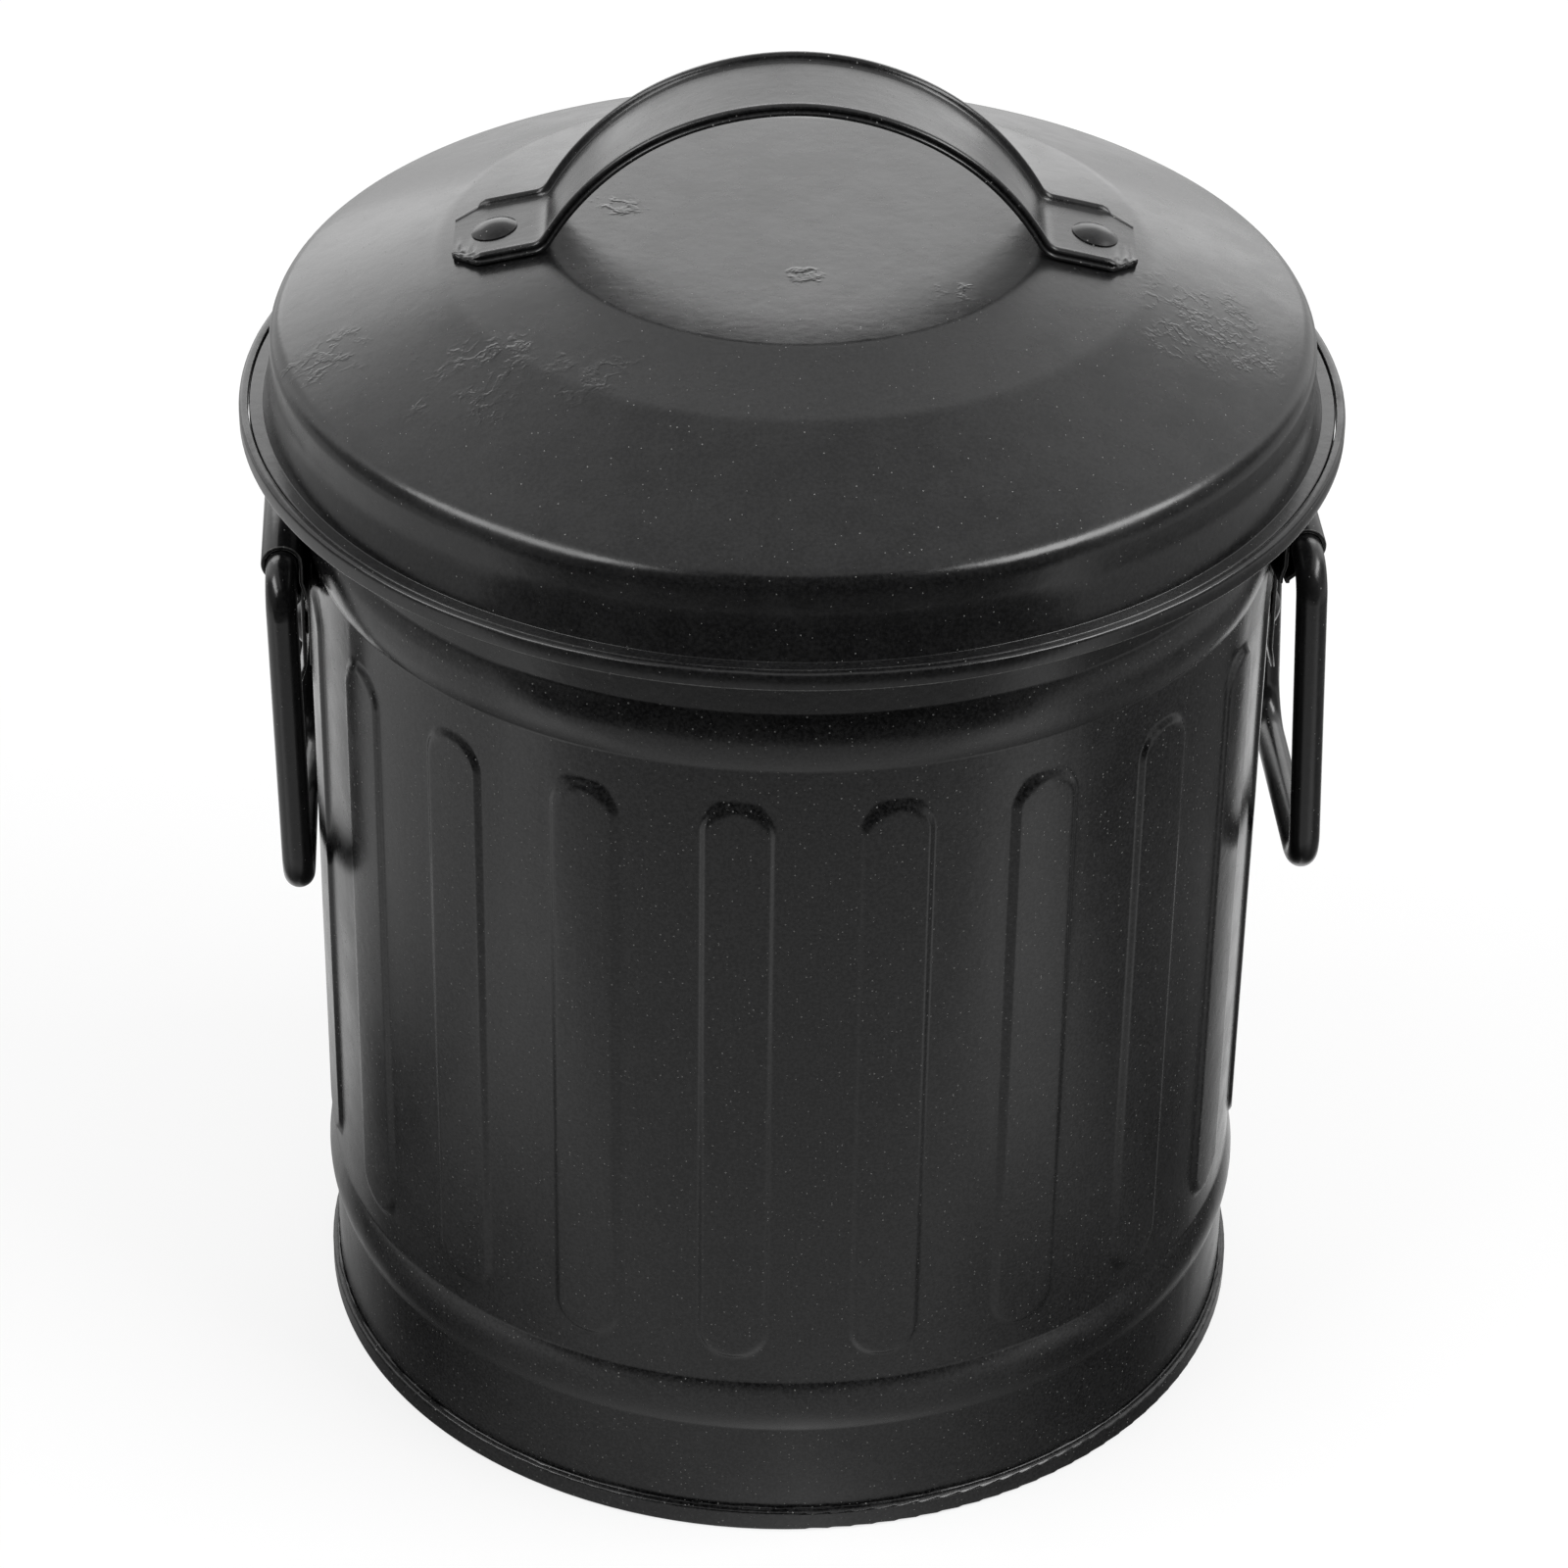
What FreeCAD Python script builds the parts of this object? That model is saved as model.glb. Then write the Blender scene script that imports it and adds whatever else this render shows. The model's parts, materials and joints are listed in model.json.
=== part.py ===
import FreeCAD, Part
import Sketcher
import math
import os

# Mini metal dustbin for a desk: fluted can, seamed base, loose domed lid and two hanging wire bails.
# Millimetres, +Z up, origin on the floor under the middle of the can.
# The bails hang at the ends of the X axis, and the side seam of the can is at the back, on +Y.

# Driving dimensions: name, value in millimetres, degrees or a count, and what it is.
DIMENSIONS = (
    ("can_radius", 57.45, "outside of the plain wall"),
    ("can_height", 136.9, "floor to the top of the curled rim"),
    ("can_sheet", 0.45, "sheet of the wall"),
    ("curl_radius", 1.5, "outside of the rolled rim"),
    ("bead_width", 7.4, "height of one rolled bead"),
    ("bead_bulge", 0.75, "how far a bead stands out"),
    ("lower_bead", 15.2, "floor up to the lower bead"),
    ("upper_bead_drop", 27.0, "top of the rim down to the upper bead"),
    ("flute_count", 20, "pressed flutes round the wall"),
    ("flute_width", 8.45, "width of a flute where it leaves the wall"),
    ("flute_bottom_room", 3.6, "lower bead up to the flutes"),
    ("flute_top_room", 4.5, "flutes up to the upper bead"),
    ("flute_bulge", 0.5, "how far a flute stands out"),
    ("flute_slope", 60, "lean of a flute's sides from square, in degrees"),
    ("side_seam_angle", 4.2, "arc taken by the folded side seam, in degrees"),
    ("base_sheet", 0.45, "sheet of the base"),
    ("base_recess", 2.4, "floor to the underside of the base panel"),
    ("seam_height", 2.8, "height of the folded seam round the base"),
    ("seam_fit", 0.05, "space between the folded sheets"),
    ("seam_round", 0.36, "rounds on the outside of the folded seam"),
    ("lid_sheet", 0.5, "sheet of the lid"),
    ("lid_disc_radius", 29.0, "flat disc in the middle of the lid"),
    ("lid_ring_width", 12.4, "shallow ring round the disc"),
    ("lid_play", 0.75, "space round the curled rim inside the skirt"),
    ("lid_flange_width", 3.85, "skirt out to the edge of the turned-down lip"),
    ("lid_disc_rise", 2.8, "edge of the shallow ring up to the disc"),
    ("lid_dome_rise", 8.45, "shoulder up to the edge of the shallow ring"),
    ("lid_skirt_height", 9.55, "flange up to the shoulder"),
    ("lid_lip_height", 2.0, "height of the turned-down lip"),
    ("lid_hem_height", 1.4, "edge of the lip folded back inside it"),
    ("lid_shoulder_round", 3.0, "round at the shoulder"),
    ("lid_flange_round", 2.2, "hollow between skirt and flange"),
    ("lid_lip_round", 0.2, "round on top of the lip, inside the sheet"),
    ("lid_ring_round", 8.0, "soft crease outside the shallow ring"),
    ("lid_disc_round", 5.0, "soft crease round the disc"),
    ("lid_rest_gap", 0.3, "paint and play between lid and rim"),
    ("lid_turn", -2.9, "how far the loose lid is turned on the can, in degrees"),
    ("handle_width", 15.4, "strap of the lid handle"),
    ("handle_sheet", 0.65, "sheet of the strap, doubled at its folded edges"),
    ("handle_hem_width", 2.6, "width of the strap's folded edges"),
    ("handle_rise", 18.9, "disc of the lid up to the top of the arch"),
    ("handle_arch_radius", 33.3, "outside of the arch"),
    ("handle_bend_radius", 2.0, "bend from the arch to a tab"),
    ("handle_tab", 9.66, "length of a tab, with its rivet halfway along"),
    ("handle_corner", 3.0, "cut corner of a tab"),
    ("rivet_head_radius", 2.6, "domed head"),
    ("rivet_head_height", 1.3, "domed head"),
    ("rivet_shank_radius", 1.5, "shank"),
    ("rivet_tail_radius", 2.2, "hammered tail"),
    ("rivet_tail_end", 1.65, "radius of the tail's flat end"),
    ("rivet_tail_height", 0.9, "hammered tail"),
    ("rivet_fit", 0.05, "space round a shank in its hole"),
    ("rivet_play", 0.1, "space under a tail"),
    ("bracket_sheet", 0.5, "sheet of a bail bracket"),
    ("bracket_width", 25.0, "length of the knuckle that holds the wire"),
    ("bracket_flute_room", 0.4, "space between the tongue and the flutes beside it"),
    ("bracket_tip_width", 1.0, "blunt point of the tongue"),
    ("bracket_seat", 0.05, "paint between bracket and wall"),
    ("bracket_lap", 0.3, "space between the two tails that are riveted together"),
    ("bracket_wrap", 50, "how far the knuckle curls under the wire before it runs back, in degrees"),
    ("bracket_shoulder", 0.15, "knuckle down to the step"),
    ("bracket_step", 1.6, "height of the step in to the wall"),
    ("bracket_waist", 0.4, "foot of the web down to where the bracket narrows"),
    ("bracket_taper", 1.8, "height over which it narrows to the tongue"),
    ("bracket_rivet_room", 11.2, "step down to the rivet"),
    ("bracket_tip_room", 3.6, "rivet down to where the tip stands off the wall"),
    ("bracket_tip", 4.7, "length of the tip"),
    ("bracket_flare", 1.0, "how far the tip stands off the wall"),
    ("hinge_lift", 1.1, "lower edge of the upper bead up to the axis of the bails"),
    ("hinge_fit", 0.1, "space round the wire in its knuckle"),
    ("wire_radius", 1.85, "wire of the bails"),
    ("bail_height", 42.4, "hinge axis to the middle of the bottom run"),
    ("bail_side_room", 1.9, "end of the knuckle to the bend of the wire"),
    ("bail_top_bend", 3.6, "upper bends, at the middle of the wire"),
    ("bail_bottom_bend", 5.6, "lower bends, at the middle of the wire"),
    ("right_bail_lean", 2.5, "how far the right bail leans out from the can, in degrees"),
    ("left_bail_lean", -0.8, "how far the left bail leans out from the can, in degrees"),
)

# Sizes worked out from the driving ones, as expressions on the sheet.
CAN_INSIDE = "(sizes.can_radius - sizes.can_sheet)"
CURL_LEVEL = "(sizes.can_height - sizes.curl_radius)"
CURL_CENTRE = f"({CAN_INSIDE} + sizes.curl_radius)"
CURL_BORE = "(sizes.curl_radius - sizes.can_sheet)"
UPPER_BEAD = "(sizes.can_height - sizes.upper_bead_drop)"
BEADS = ("sizes.lower_bead", UPPER_BEAD)
BEAD_ROUND = "((sizes.bead_width ^ 2 / 4 + sizes.bead_bulge ^ 2) / (2 * sizes.bead_bulge))"
FLUTE_BOTTOM = "(sizes.lower_bead + sizes.bead_width + sizes.flute_bottom_room)"
FLUTE_TOP = f"({UPPER_BEAD} - sizes.flute_top_room)"
FLUTE_SPACING = "(2 * pi * sizes.can_radius / sizes.flute_count)"
HOOK_BOTTOM = "(sizes.base_sheet + sizes.seam_fit)"
HOOK_TOP = "(sizes.seam_height - sizes.base_sheet - sizes.seam_fit)"
HOOK_RADIUS = "(sizes.can_radius + sizes.can_sheet)"
SEAM_BORE = f"({HOOK_RADIUS} + sizes.seam_fit)"
SEAM_RADIUS = f"({SEAM_BORE} + sizes.base_sheet)"
BASE_WELL = f"({CAN_INSIDE} - sizes.seam_fit)"
LID_SKIRT_RADIUS = f"({CURL_CENTRE} + sizes.curl_radius + sizes.lid_play + sizes.lid_sheet)"
LID_LIP_RADIUS = f"({LID_SKIRT_RADIUS} + sizes.lid_flange_width)"
LID_RING_RADIUS = "(sizes.lid_disc_radius + sizes.lid_ring_width)"
LID_SHOULDER = "(sizes.lid_lip_height + sizes.lid_skirt_height)"
LID_RING = f"({LID_SHOULDER} + sizes.lid_dome_rise)"
LID_DISC = f"({LID_RING} + sizes.lid_disc_rise)"
RING_SLOPE = "atan(sizes.lid_disc_rise / sizes.lid_ring_width)"
DOME_SLOPE = f"atan(sizes.lid_dome_rise / ({LID_SKIRT_RADIUS} - {LID_RING_RADIUS}))"
RING_EASE = f"(sizes.lid_ring_round * tan(abs({DOME_SLOPE} - {RING_SLOPE}) / 2))"
DISC_EASE = f"(sizes.lid_disc_round * tan({RING_SLOPE} / 2))"
HANDLE_HEM = "(2 * sizes.handle_sheet)"
HANDLE_TOP = f"({LID_DISC} + sizes.handle_rise)"
HEM_ON_RING = f"({HANDLE_HEM} / cos({RING_SLOPE}))"
BRACKET_FOOT = "(sizes.can_radius + sizes.bracket_seat)"
OUTER_TAIL = f"({BRACKET_FOOT} + sizes.bracket_sheet + sizes.bracket_lap)"
BRACKET_FRONT = f"({OUTER_TAIL} + sizes.bracket_sheet)"
TONGUE_WIDTH = f"({FLUTE_SPACING} - sizes.flute_width - 2 * sizes.bracket_flute_room)"
KNUCKLE_BORE = "(sizes.wire_radius + sizes.hinge_fit)"
KNUCKLE_RADIUS = f"({KNUCKLE_BORE} + sizes.bracket_sheet)"
HINGE_HEIGHT = f"({UPPER_BEAD} + sizes.hinge_lift)"
BEAD_CENTRE = f"(sizes.can_radius + sizes.bead_bulge - {BEAD_ROUND})"
HINGE_BELOW_BEAD = "(sizes.bead_width / 2 - sizes.hinge_lift)"
BEAD_TO_HINGE = f"({BEAD_ROUND} + sizes.bracket_seat + {KNUCKLE_RADIUS})"
HINGE_REACH = f"({BEAD_CENTRE} + sqrt({BEAD_TO_HINGE} ^ 2 - {HINGE_BELOW_BEAD} ^ 2))"
SHOULDER_HEIGHT = f"({HINGE_HEIGHT} - {KNUCKLE_RADIUS} - sizes.bracket_shoulder)"
STEP_FOOT = f"({SHOULDER_HEIGHT} - sizes.bracket_step)"
BRACKET_RIVET = f"({STEP_FOOT} - sizes.bracket_rivet_room)"
TIP_START = f"({BRACKET_RIVET} - sizes.bracket_tip_room)"
TIP_END = f"({TIP_START} - sizes.bracket_tip)"


def web_foot(radius, across):
    """Height at which the web, straight from the end of the knuckle's curl, meets an upright face."""
    curl_end = f"({HINGE_REACH} + {radius} * cos(sizes.bracket_wrap))"
    drop = f"({curl_end} - {across}) / tan(sizes.bracket_wrap)"
    return f"({HINGE_HEIGHT} - {radius} * sin(sizes.bracket_wrap) - {drop})"


WAIST = f"({web_foot(KNUCKLE_RADIUS, BRACKET_FRONT)} - sizes.bracket_waist)"

# How far a cutting form runs past the sheet that it cuts, in millimetres.
SPARE = "1"
# The side of a path to which an arc bulges.
LEFT_OF_PATH = 1
RIGHT_OF_PATH = -1
UPRIGHT = FreeCAD.Vector(0, 0, 1)
ACROSS = FreeCAD.Vector(0, 1, 0)

doc = FreeCAD.newDocument("desktop_trash_can")
sheet = doc.addObject("Spreadsheet::Sheet", "sizes")


def fill_sheet():
    """Write every driving dimension to the sheet under its own name."""
    for row, (name, value, meaning) in enumerate(DIMENSIONS, start=1):
        sheet.set(f"A{row}", name)
        sheet.set(f"B{row}", str(value))
        sheet.set(f"C{row}", meaning)
        sheet.setAlias(f"B{row}", name)
    doc.recompute()


def number(expression):
    """Value of an expression on the sheet."""
    value = sheet.evalExpression(expression.replace("sizes.", ""))
    return float(getattr(value, "Value", value))


def size(name):
    """Value of one driving dimension."""
    return float(sheet.get(name))


def new_body(name):
    """Empty body that holds the features of one form."""
    return doc.addObject("PartDesign::Body", name)


def origin_plane(body, role):
    """One of the body's own origin planes, such as XZ_Plane."""
    return next(feature for feature in body.Origin.OriginFeatures if feature.Role == role)


def new_sketch(body, name, role):
    """Sketch lying on an origin plane of its body."""
    sketch = body.newObject("Sketcher::SketchObject", name)
    sketch.AttachmentSupport = [(origin_plane(body, role), "")]
    sketch.MapMode = "FlatFace"
    return sketch


def bind(sketch, kind, *parts, expression):
    """Add a constraint whose value is an expression on the sheet."""
    index = sketch.addConstraint(Sketcher.Constraint(kind, *parts, number(expression)))
    sketch.setExpression(f"Constraints[{index}]", expression)


def pin(sketch, geometry, end, across, up):
    """Hold one end of a line or an arc at (across, up)."""
    for kind, axis, expression in (("DistanceX", -2, across), ("DistanceY", -1, up)):
        if expression == "0":
            sketch.addConstraint(Sketcher.Constraint("PointOnObject", geometry, end, axis))
        else:
            bind(sketch, kind, -1, 1, geometry, end, expression=expression)


def arc_middle(start, stop, radius, side):
    """Point halfway along the shorter arc from start to stop, bulging to one side of the path."""
    chord = stop - start
    half = chord.Length / 2
    rise = radius - math.sqrt(max(radius ** 2 - half ** 2, 0.0))
    sideways = FreeCAD.Vector(-chord.y, chord.x, 0).normalize()
    return (start + stop) / 2 + sideways * rise * side


def draw(sketch, corners, closed=True):
    """Draw lines and arcs from corner to corner.

    A corner is (across, up), or (across, up, radius, side) where an arc leaves it.
    Returns the index and the first and last end of each stretch.
    """
    points = [FreeCAD.Vector(number(corner[0]), number(corner[1]), 0) for corner in corners]
    following = points[1:] + points[:1] if closed else points[1:]
    stretches = []
    for corner, start, stop in zip(corners, points, following):
        if len(corner) == 2:
            index = sketch.addGeometry(Part.LineSegment(start, stop))
            stretches.append((index, 1, 2))
            continue
        radius, side = corner[2:]
        middle = arc_middle(start, stop, number(radius), side)
        index = sketch.addGeometry(Part.Arc(start, middle, stop))
        first = sketch.getPoint(index, 1)
        forward = first.distanceToPoint(start) < first.distanceToPoint(stop)
        stretches.append((index, 1, 2) if forward else (index, 2, 1))
        bind(sketch, "Radius", index, expression=radius)
    later = stretches[1:] + stretches[:1] if closed else stretches[1:]
    for (index, _, last), (next_index, first, _) in zip(stretches, later):
        sketch.addConstraint(Sketcher.Constraint("Coincident", index, last, next_index, first))
    for (index, first, _), corner in zip(stretches, corners):
        pin(sketch, index, first, corner[0], corner[1])
    if not closed:
        index, _, last = stretches[-1]
        pin(sketch, index, last, corners[-1][0], corners[-1][1])
    return stretches


def revolve(body, name, corners, role="XZ_Plane"):
    """Solid of revolution about the upright axis, from an outline of (radius, height) corners."""
    sketch = new_sketch(body, f"{name}_outline", role)
    draw(sketch, corners)
    turned = body.newObject("PartDesign::Revolution", name)
    turned.Profile = sketch
    turned.ReferenceAxis = (sketch, ["V_Axis"])
    turned.Angle = 360
    doc.recompute()
    return turned


def round_edges(body, name, radius, rings):
    """Round the circular edges named as (radius, height) pairs of expressions."""
    base = body.Tip
    wanted = [(number(across), number(up)) for across, up in rings]
    edges = [
        f"Edge{index}"
        for index, edge in enumerate(base.Shape.Edges, start=1)
        if isinstance(edge.Curve, Part.Circle)
        and any(math.isclose(edge.Curve.Radius, across, abs_tol=1e-4)
                and math.isclose(edge.Curve.Center.z, up, abs_tol=1e-4) for across, up in wanted)
    ]
    fillet = body.newObject("PartDesign::Fillet", name)
    fillet.Base = (base, edges)
    fillet.setExpression("Radius", radius)
    doc.recompute()
    return fillet


def boolean(kind, name, base, tool):
    """Cut or fuse two objects of the document."""
    result = doc.addObject(kind, name)
    result.Base = base
    result.Tool = tool
    doc.recompute()
    return result


def fuse(name, pieces):
    """Join several forms into one solid."""
    result = doc.addObject("Part::MultiFuse", name)
    result.Shapes = pieces
    result.Refine = True
    doc.recompute()
    return result


def drilled(name, piece, placements):
    """Drill a rivet hole through a piece at each placement."""
    holes = []
    for index, placement in enumerate(placements, start=1):
        hole = doc.addObject("Part::Cylinder", f"{name}_hole_{index}")
        hole.setExpression("Radius", "sizes.rivet_shank_radius + sizes.rivet_fit")
        hole.setExpression("Height", "4 * sizes.rivet_head_radius")
        middle = FreeCAD.Vector(0, 0, -2 * size("rivet_head_radius"))
        hole.Placement = placement * FreeCAD.Placement(middle, FreeCAD.Rotation())
        holes.append(hole)
    for index, hole in enumerate(holes, start=1):
        piece = boolean("Part::Cut", f"{name}_drilled_{index}", piece, hole)
    piece.Label = name
    return piece


def flute_form(name, radius):
    """One pressed flute on the front of a barrel: a round-ended pad with leaning sides and a curved top."""
    body = new_body(name)
    face = new_sketch(body, f"{name}_outline", "XZ_Plane")
    face.setExpression("AttachmentOffset.Base.z", f"{radius} - sizes.flute_bulge")
    half = "(sizes.flute_width / 2 + sizes.flute_bulge * tan(sizes.flute_slope))"
    low = f"({FLUTE_BOTTOM} + sizes.flute_width / 2)"
    high = f"({FLUTE_TOP} - sizes.flute_width / 2)"
    draw(face, [
        (half, low),
        (half, high, half, RIGHT_OF_PATH),
        ("0", f"{high} + {half}", half, RIGHT_OF_PATH),
        (f"-{half}", high),
        (f"-{half}", low, half, RIGHT_OF_PATH),
        ("0", f"{low} - {half}", half, RIGHT_OF_PATH),
    ])
    pad = body.newObject("PartDesign::Pad", f"{name}_pad")
    pad.Profile = face
    pad.setExpression("Length", "3 * sizes.flute_bulge")
    pad.setExpression("TaperAngle", "-sizes.flute_slope")
    doc.recompute()
    trim = new_sketch(body, f"{name}_trim", "XZ_Plane")
    inner = f"{radius} + sizes.flute_bulge"
    outer = f"{radius} + 4 * sizes.flute_bulge"
    below = f"{FLUTE_BOTTOM} - {SPARE}"
    above = f"{FLUTE_TOP} + {SPARE}"
    draw(trim, [(inner, below), (outer, below), (outer, above), (inner, above)])
    groove = body.newObject("PartDesign::Groove", f"{name}_curve")
    groove.Profile = trim
    groove.ReferenceAxis = (trim, ["V_Axis"])
    groove.Angle = 360
    doc.recompute()
    return body


def can_form(name, radius, bottom, top):
    """Filled form of the can with its beads and flutes: the wall is one such form cut from another."""
    barrel = new_body(f"{name}_barrel")
    beads = []
    for bead in BEADS:
        beads.append((radius, bead, BEAD_ROUND, RIGHT_OF_PATH))
        beads.append((radius, f"{bead} + sizes.bead_width"))
    revolve(barrel, f"{name}_turned", [("0", bottom), (radius, bottom)] + beads + [(radius, top), ("0", top)])
    flute = flute_form(f"{name}_flute", radius)
    pitch = 360 / size("flute_count")
    flutes = []
    for index in range(int(size("flute_count"))):
        copy = doc.addObject("App::Link", f"{name}_flute_{index + 1}")
        copy.LinkedObject = flute
        copy.Placement = FreeCAD.Placement(FreeCAD.Vector(), FreeCAD.Rotation(UPRIGHT, (index + 0.5) * pitch))
        flutes.append(copy)
    return fuse(name, [barrel] + flutes)


def rim_curl():
    """Rim of the wall rolled outward into an open curl."""
    body = new_body("rim_curl")
    outer = f"{CURL_CENTRE} + sizes.curl_radius"
    revolve(body, "rolled_rim", [
        (CAN_INSIDE, f"{CURL_LEVEL} - sizes.can_sheet"),
        (CAN_INSIDE, CURL_LEVEL, "sizes.curl_radius", LEFT_OF_PATH),
        (CURL_CENTRE, "sizes.can_height", "sizes.curl_radius", LEFT_OF_PATH),
        (outer, CURL_LEVEL, "sizes.curl_radius", LEFT_OF_PATH),
        (CURL_CENTRE, f"{CURL_LEVEL} - sizes.curl_radius"),
        (CURL_CENTRE, f"{CURL_LEVEL} - {CURL_BORE}", CURL_BORE, RIGHT_OF_PATH),
        (f"{CURL_CENTRE} + {CURL_BORE}", CURL_LEVEL, CURL_BORE, RIGHT_OF_PATH),
        (CURL_CENTRE, f"{CURL_LEVEL} + {CURL_BORE}", CURL_BORE, RIGHT_OF_PATH),
        ("sizes.can_radius", CURL_LEVEL),
        ("sizes.can_radius", f"{CURL_LEVEL} - sizes.can_sheet"),
    ])
    return body


def bottom_hook():
    """Lower edge of the wall folded up outside itself, for the base to grip."""
    body = new_body("bottom_hook")
    revolve(body, "folded_edge", [
        (CAN_INSIDE, HOOK_BOTTOM),
        (HOOK_RADIUS, HOOK_BOTTOM),
        (HOOK_RADIUS, HOOK_TOP),
        (CAN_INSIDE, HOOK_TOP),
    ])
    return body


def side_seam():
    """Folded seam up the back of the can, one sheet proud of the wall and running over both beads."""
    body = new_body("side_seam")
    inner = f"{CAN_INSIDE} + sizes.can_sheet / 2"
    outer = HOOK_RADIUS
    beads = []
    for bead in BEADS:
        beads.append((outer, bead, BEAD_ROUND, RIGHT_OF_PATH))
        beads.append((outer, f"{bead} + sizes.bead_width"))
    back = []
    for bead in reversed(BEADS):
        back.append((inner, f"{bead} + sizes.bead_width", BEAD_ROUND, LEFT_OF_PATH))
        back.append((inner, bead))
    bottom = "sizes.seam_height + sizes.seam_fit"
    top = f"{CURL_LEVEL} - sizes.curl_radius - sizes.can_sheet"
    turned = revolve(body, "lock_seam", [(inner, bottom), (outer, bottom)] + beads
                     + [(outer, top), (inner, top)] + back, "YZ_Plane")
    turned.Midplane = True
    turned.setExpression("Angle", "sizes.side_seam_angle")
    doc.recompute()
    return body


def can_wall(rivets):
    """Fluted and beaded sheet wall with its rolled rim, folded lower edge and side seam."""
    outside = can_form("can_outside", "sizes.can_radius", HOOK_BOTTOM, CURL_LEVEL)
    inside = can_form("can_inside", CAN_INSIDE, f"{HOOK_BOTTOM} - {SPARE}", f"{CURL_LEVEL} + {SPARE}")
    shell = boolean("Part::Cut", "can_shell", outside, inside)
    whole = fuse("can_with_edges", [shell, rim_curl(), bottom_hook(), side_seam()])
    return drilled("can_wall", whole, rivets)


def can_base():
    """Recessed base whose edge wraps the folded edge of the wall."""
    body = new_body("can_base")
    revolve(body, "base_panel", [
        ("0", "sizes.base_recess"),
        (f"{BASE_WELL} - sizes.base_sheet", "sizes.base_recess"),
        (f"{BASE_WELL} - sizes.base_sheet", "0"),
        (SEAM_RADIUS, "0"),
        (SEAM_RADIUS, "sizes.seam_height"),
        ("sizes.can_radius + sizes.seam_fit", "sizes.seam_height"),
        ("sizes.can_radius + sizes.seam_fit", "sizes.seam_height - sizes.base_sheet"),
        (SEAM_BORE, "sizes.seam_height - sizes.base_sheet"),
        (SEAM_BORE, "sizes.base_sheet"),
        (BASE_WELL, "sizes.base_sheet"),
        (BASE_WELL, "sizes.base_recess + sizes.base_sheet"),
        ("0", "sizes.base_recess + sizes.base_sheet"),
    ])
    rings = [(SEAM_RADIUS, "0"), (SEAM_RADIUS, "sizes.seam_height")]
    round_edges(body, "seam_rounds", "sizes.seam_round", rings)
    return body


def lid_shell(placement, rivets):
    """Domed lid pressed from one sheet, with a skirt, a flange and a folded lip."""
    body = new_body("lid_pressing")
    ring_side = RIGHT_OF_PATH if number(DOME_SLOPE) > number(RING_SLOPE) else LEFT_OF_PATH
    revolve(body, "lid_dome", [
        ("0", "0"),
        (LID_LIP_RADIUS, "0"),
        (LID_LIP_RADIUS, "sizes.lid_lip_height"),
        (LID_SKIRT_RADIUS, "sizes.lid_lip_height"),
        (LID_SKIRT_RADIUS, LID_SHOULDER),
        (f"{LID_RING_RADIUS} + {RING_EASE} * cos({DOME_SLOPE})",
         f"{LID_RING} - {RING_EASE} * sin({DOME_SLOPE})", "sizes.lid_ring_round", ring_side),
        (f"{LID_RING_RADIUS} - {RING_EASE} * cos({RING_SLOPE})",
         f"{LID_RING} + {RING_EASE} * sin({RING_SLOPE})"),
        (f"sizes.lid_disc_radius + {DISC_EASE} * cos({RING_SLOPE})",
         f"{LID_DISC} - {DISC_EASE} * sin({RING_SLOPE})", "sizes.lid_disc_round", RIGHT_OF_PATH),
        (f"sizes.lid_disc_radius - {DISC_EASE}", LID_DISC),
        ("0", LID_DISC),
    ])
    rounds = (
        ("shoulder", "sizes.lid_shoulder_round", LID_SKIRT_RADIUS, LID_SHOULDER),
        ("flange_hollow", "sizes.lid_flange_round", LID_SKIRT_RADIUS, "sizes.lid_lip_height"),
        ("lip_top", "sizes.lid_lip_round + sizes.lid_sheet", LID_LIP_RADIUS, "sizes.lid_lip_height"),
    )
    for name, radius, across, up in rounds:
        round_edges(body, name, radius, [(across, up)])
    rounded = body.Tip
    mouth = next(f"Face{index}" for index, face in enumerate(rounded.Shape.Faces, start=1)
                 if face.BoundBox.ZMax < size("lid_hem_height") / 2)
    hollow = body.newObject("PartDesign::Thickness", "lid_hollow")
    hollow.Base = (rounded, [mouth])
    hollow.setExpression("Value", "sizes.lid_sheet")
    hollow.Reversed = True
    hollow.Join = 1
    doc.recompute()
    inner = f"{LID_LIP_RADIUS} - 2 * sizes.lid_sheet"
    outer = f"{LID_LIP_RADIUS} - sizes.lid_sheet / 2"
    revolve(body, "lip_hem", [
        (inner, "0"),
        (outer, "0"),
        (outer, "sizes.lid_hem_height"),
        (inner, "sizes.lid_hem_height"),
    ])
    shell = drilled("lid_shell", body, rivets)
    shell.Placement = placement
    return shell


def strap_points():
    """Where the strap's top line leaves its arch, where it meets the tab, and where the tab ends."""
    slope = math.radians(number(RING_SLOPE))
    outward = FreeCAD.Vector(math.cos(slope), -math.sin(slope), 0)
    square = FreeCAD.Vector(math.sin(slope), math.cos(slope), 0)
    arch = size("handle_arch_radius")
    bend = size("handle_bend_radius")
    crease = FreeCAD.Vector(size("lid_disc_radius"), number(LID_DISC) + number(HEM_ON_RING), 0)
    arch_centre = FreeCAD.Vector(0, number(HANDLE_TOP) - arch, 0)
    offset = crease + square * bend - arch_centre
    ahead = offset.dot(outward)
    run = math.sqrt(ahead ** 2 - offset.dot(offset) + (arch + bend) ** 2) - ahead
    bend_centre = crease + square * bend + outward * run
    foot = bend_centre - square * bend
    joint = arch_centre + (bend_centre - arch_centre).normalize() * arch
    return joint, foot, foot + outward * size("handle_tab")


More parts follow.
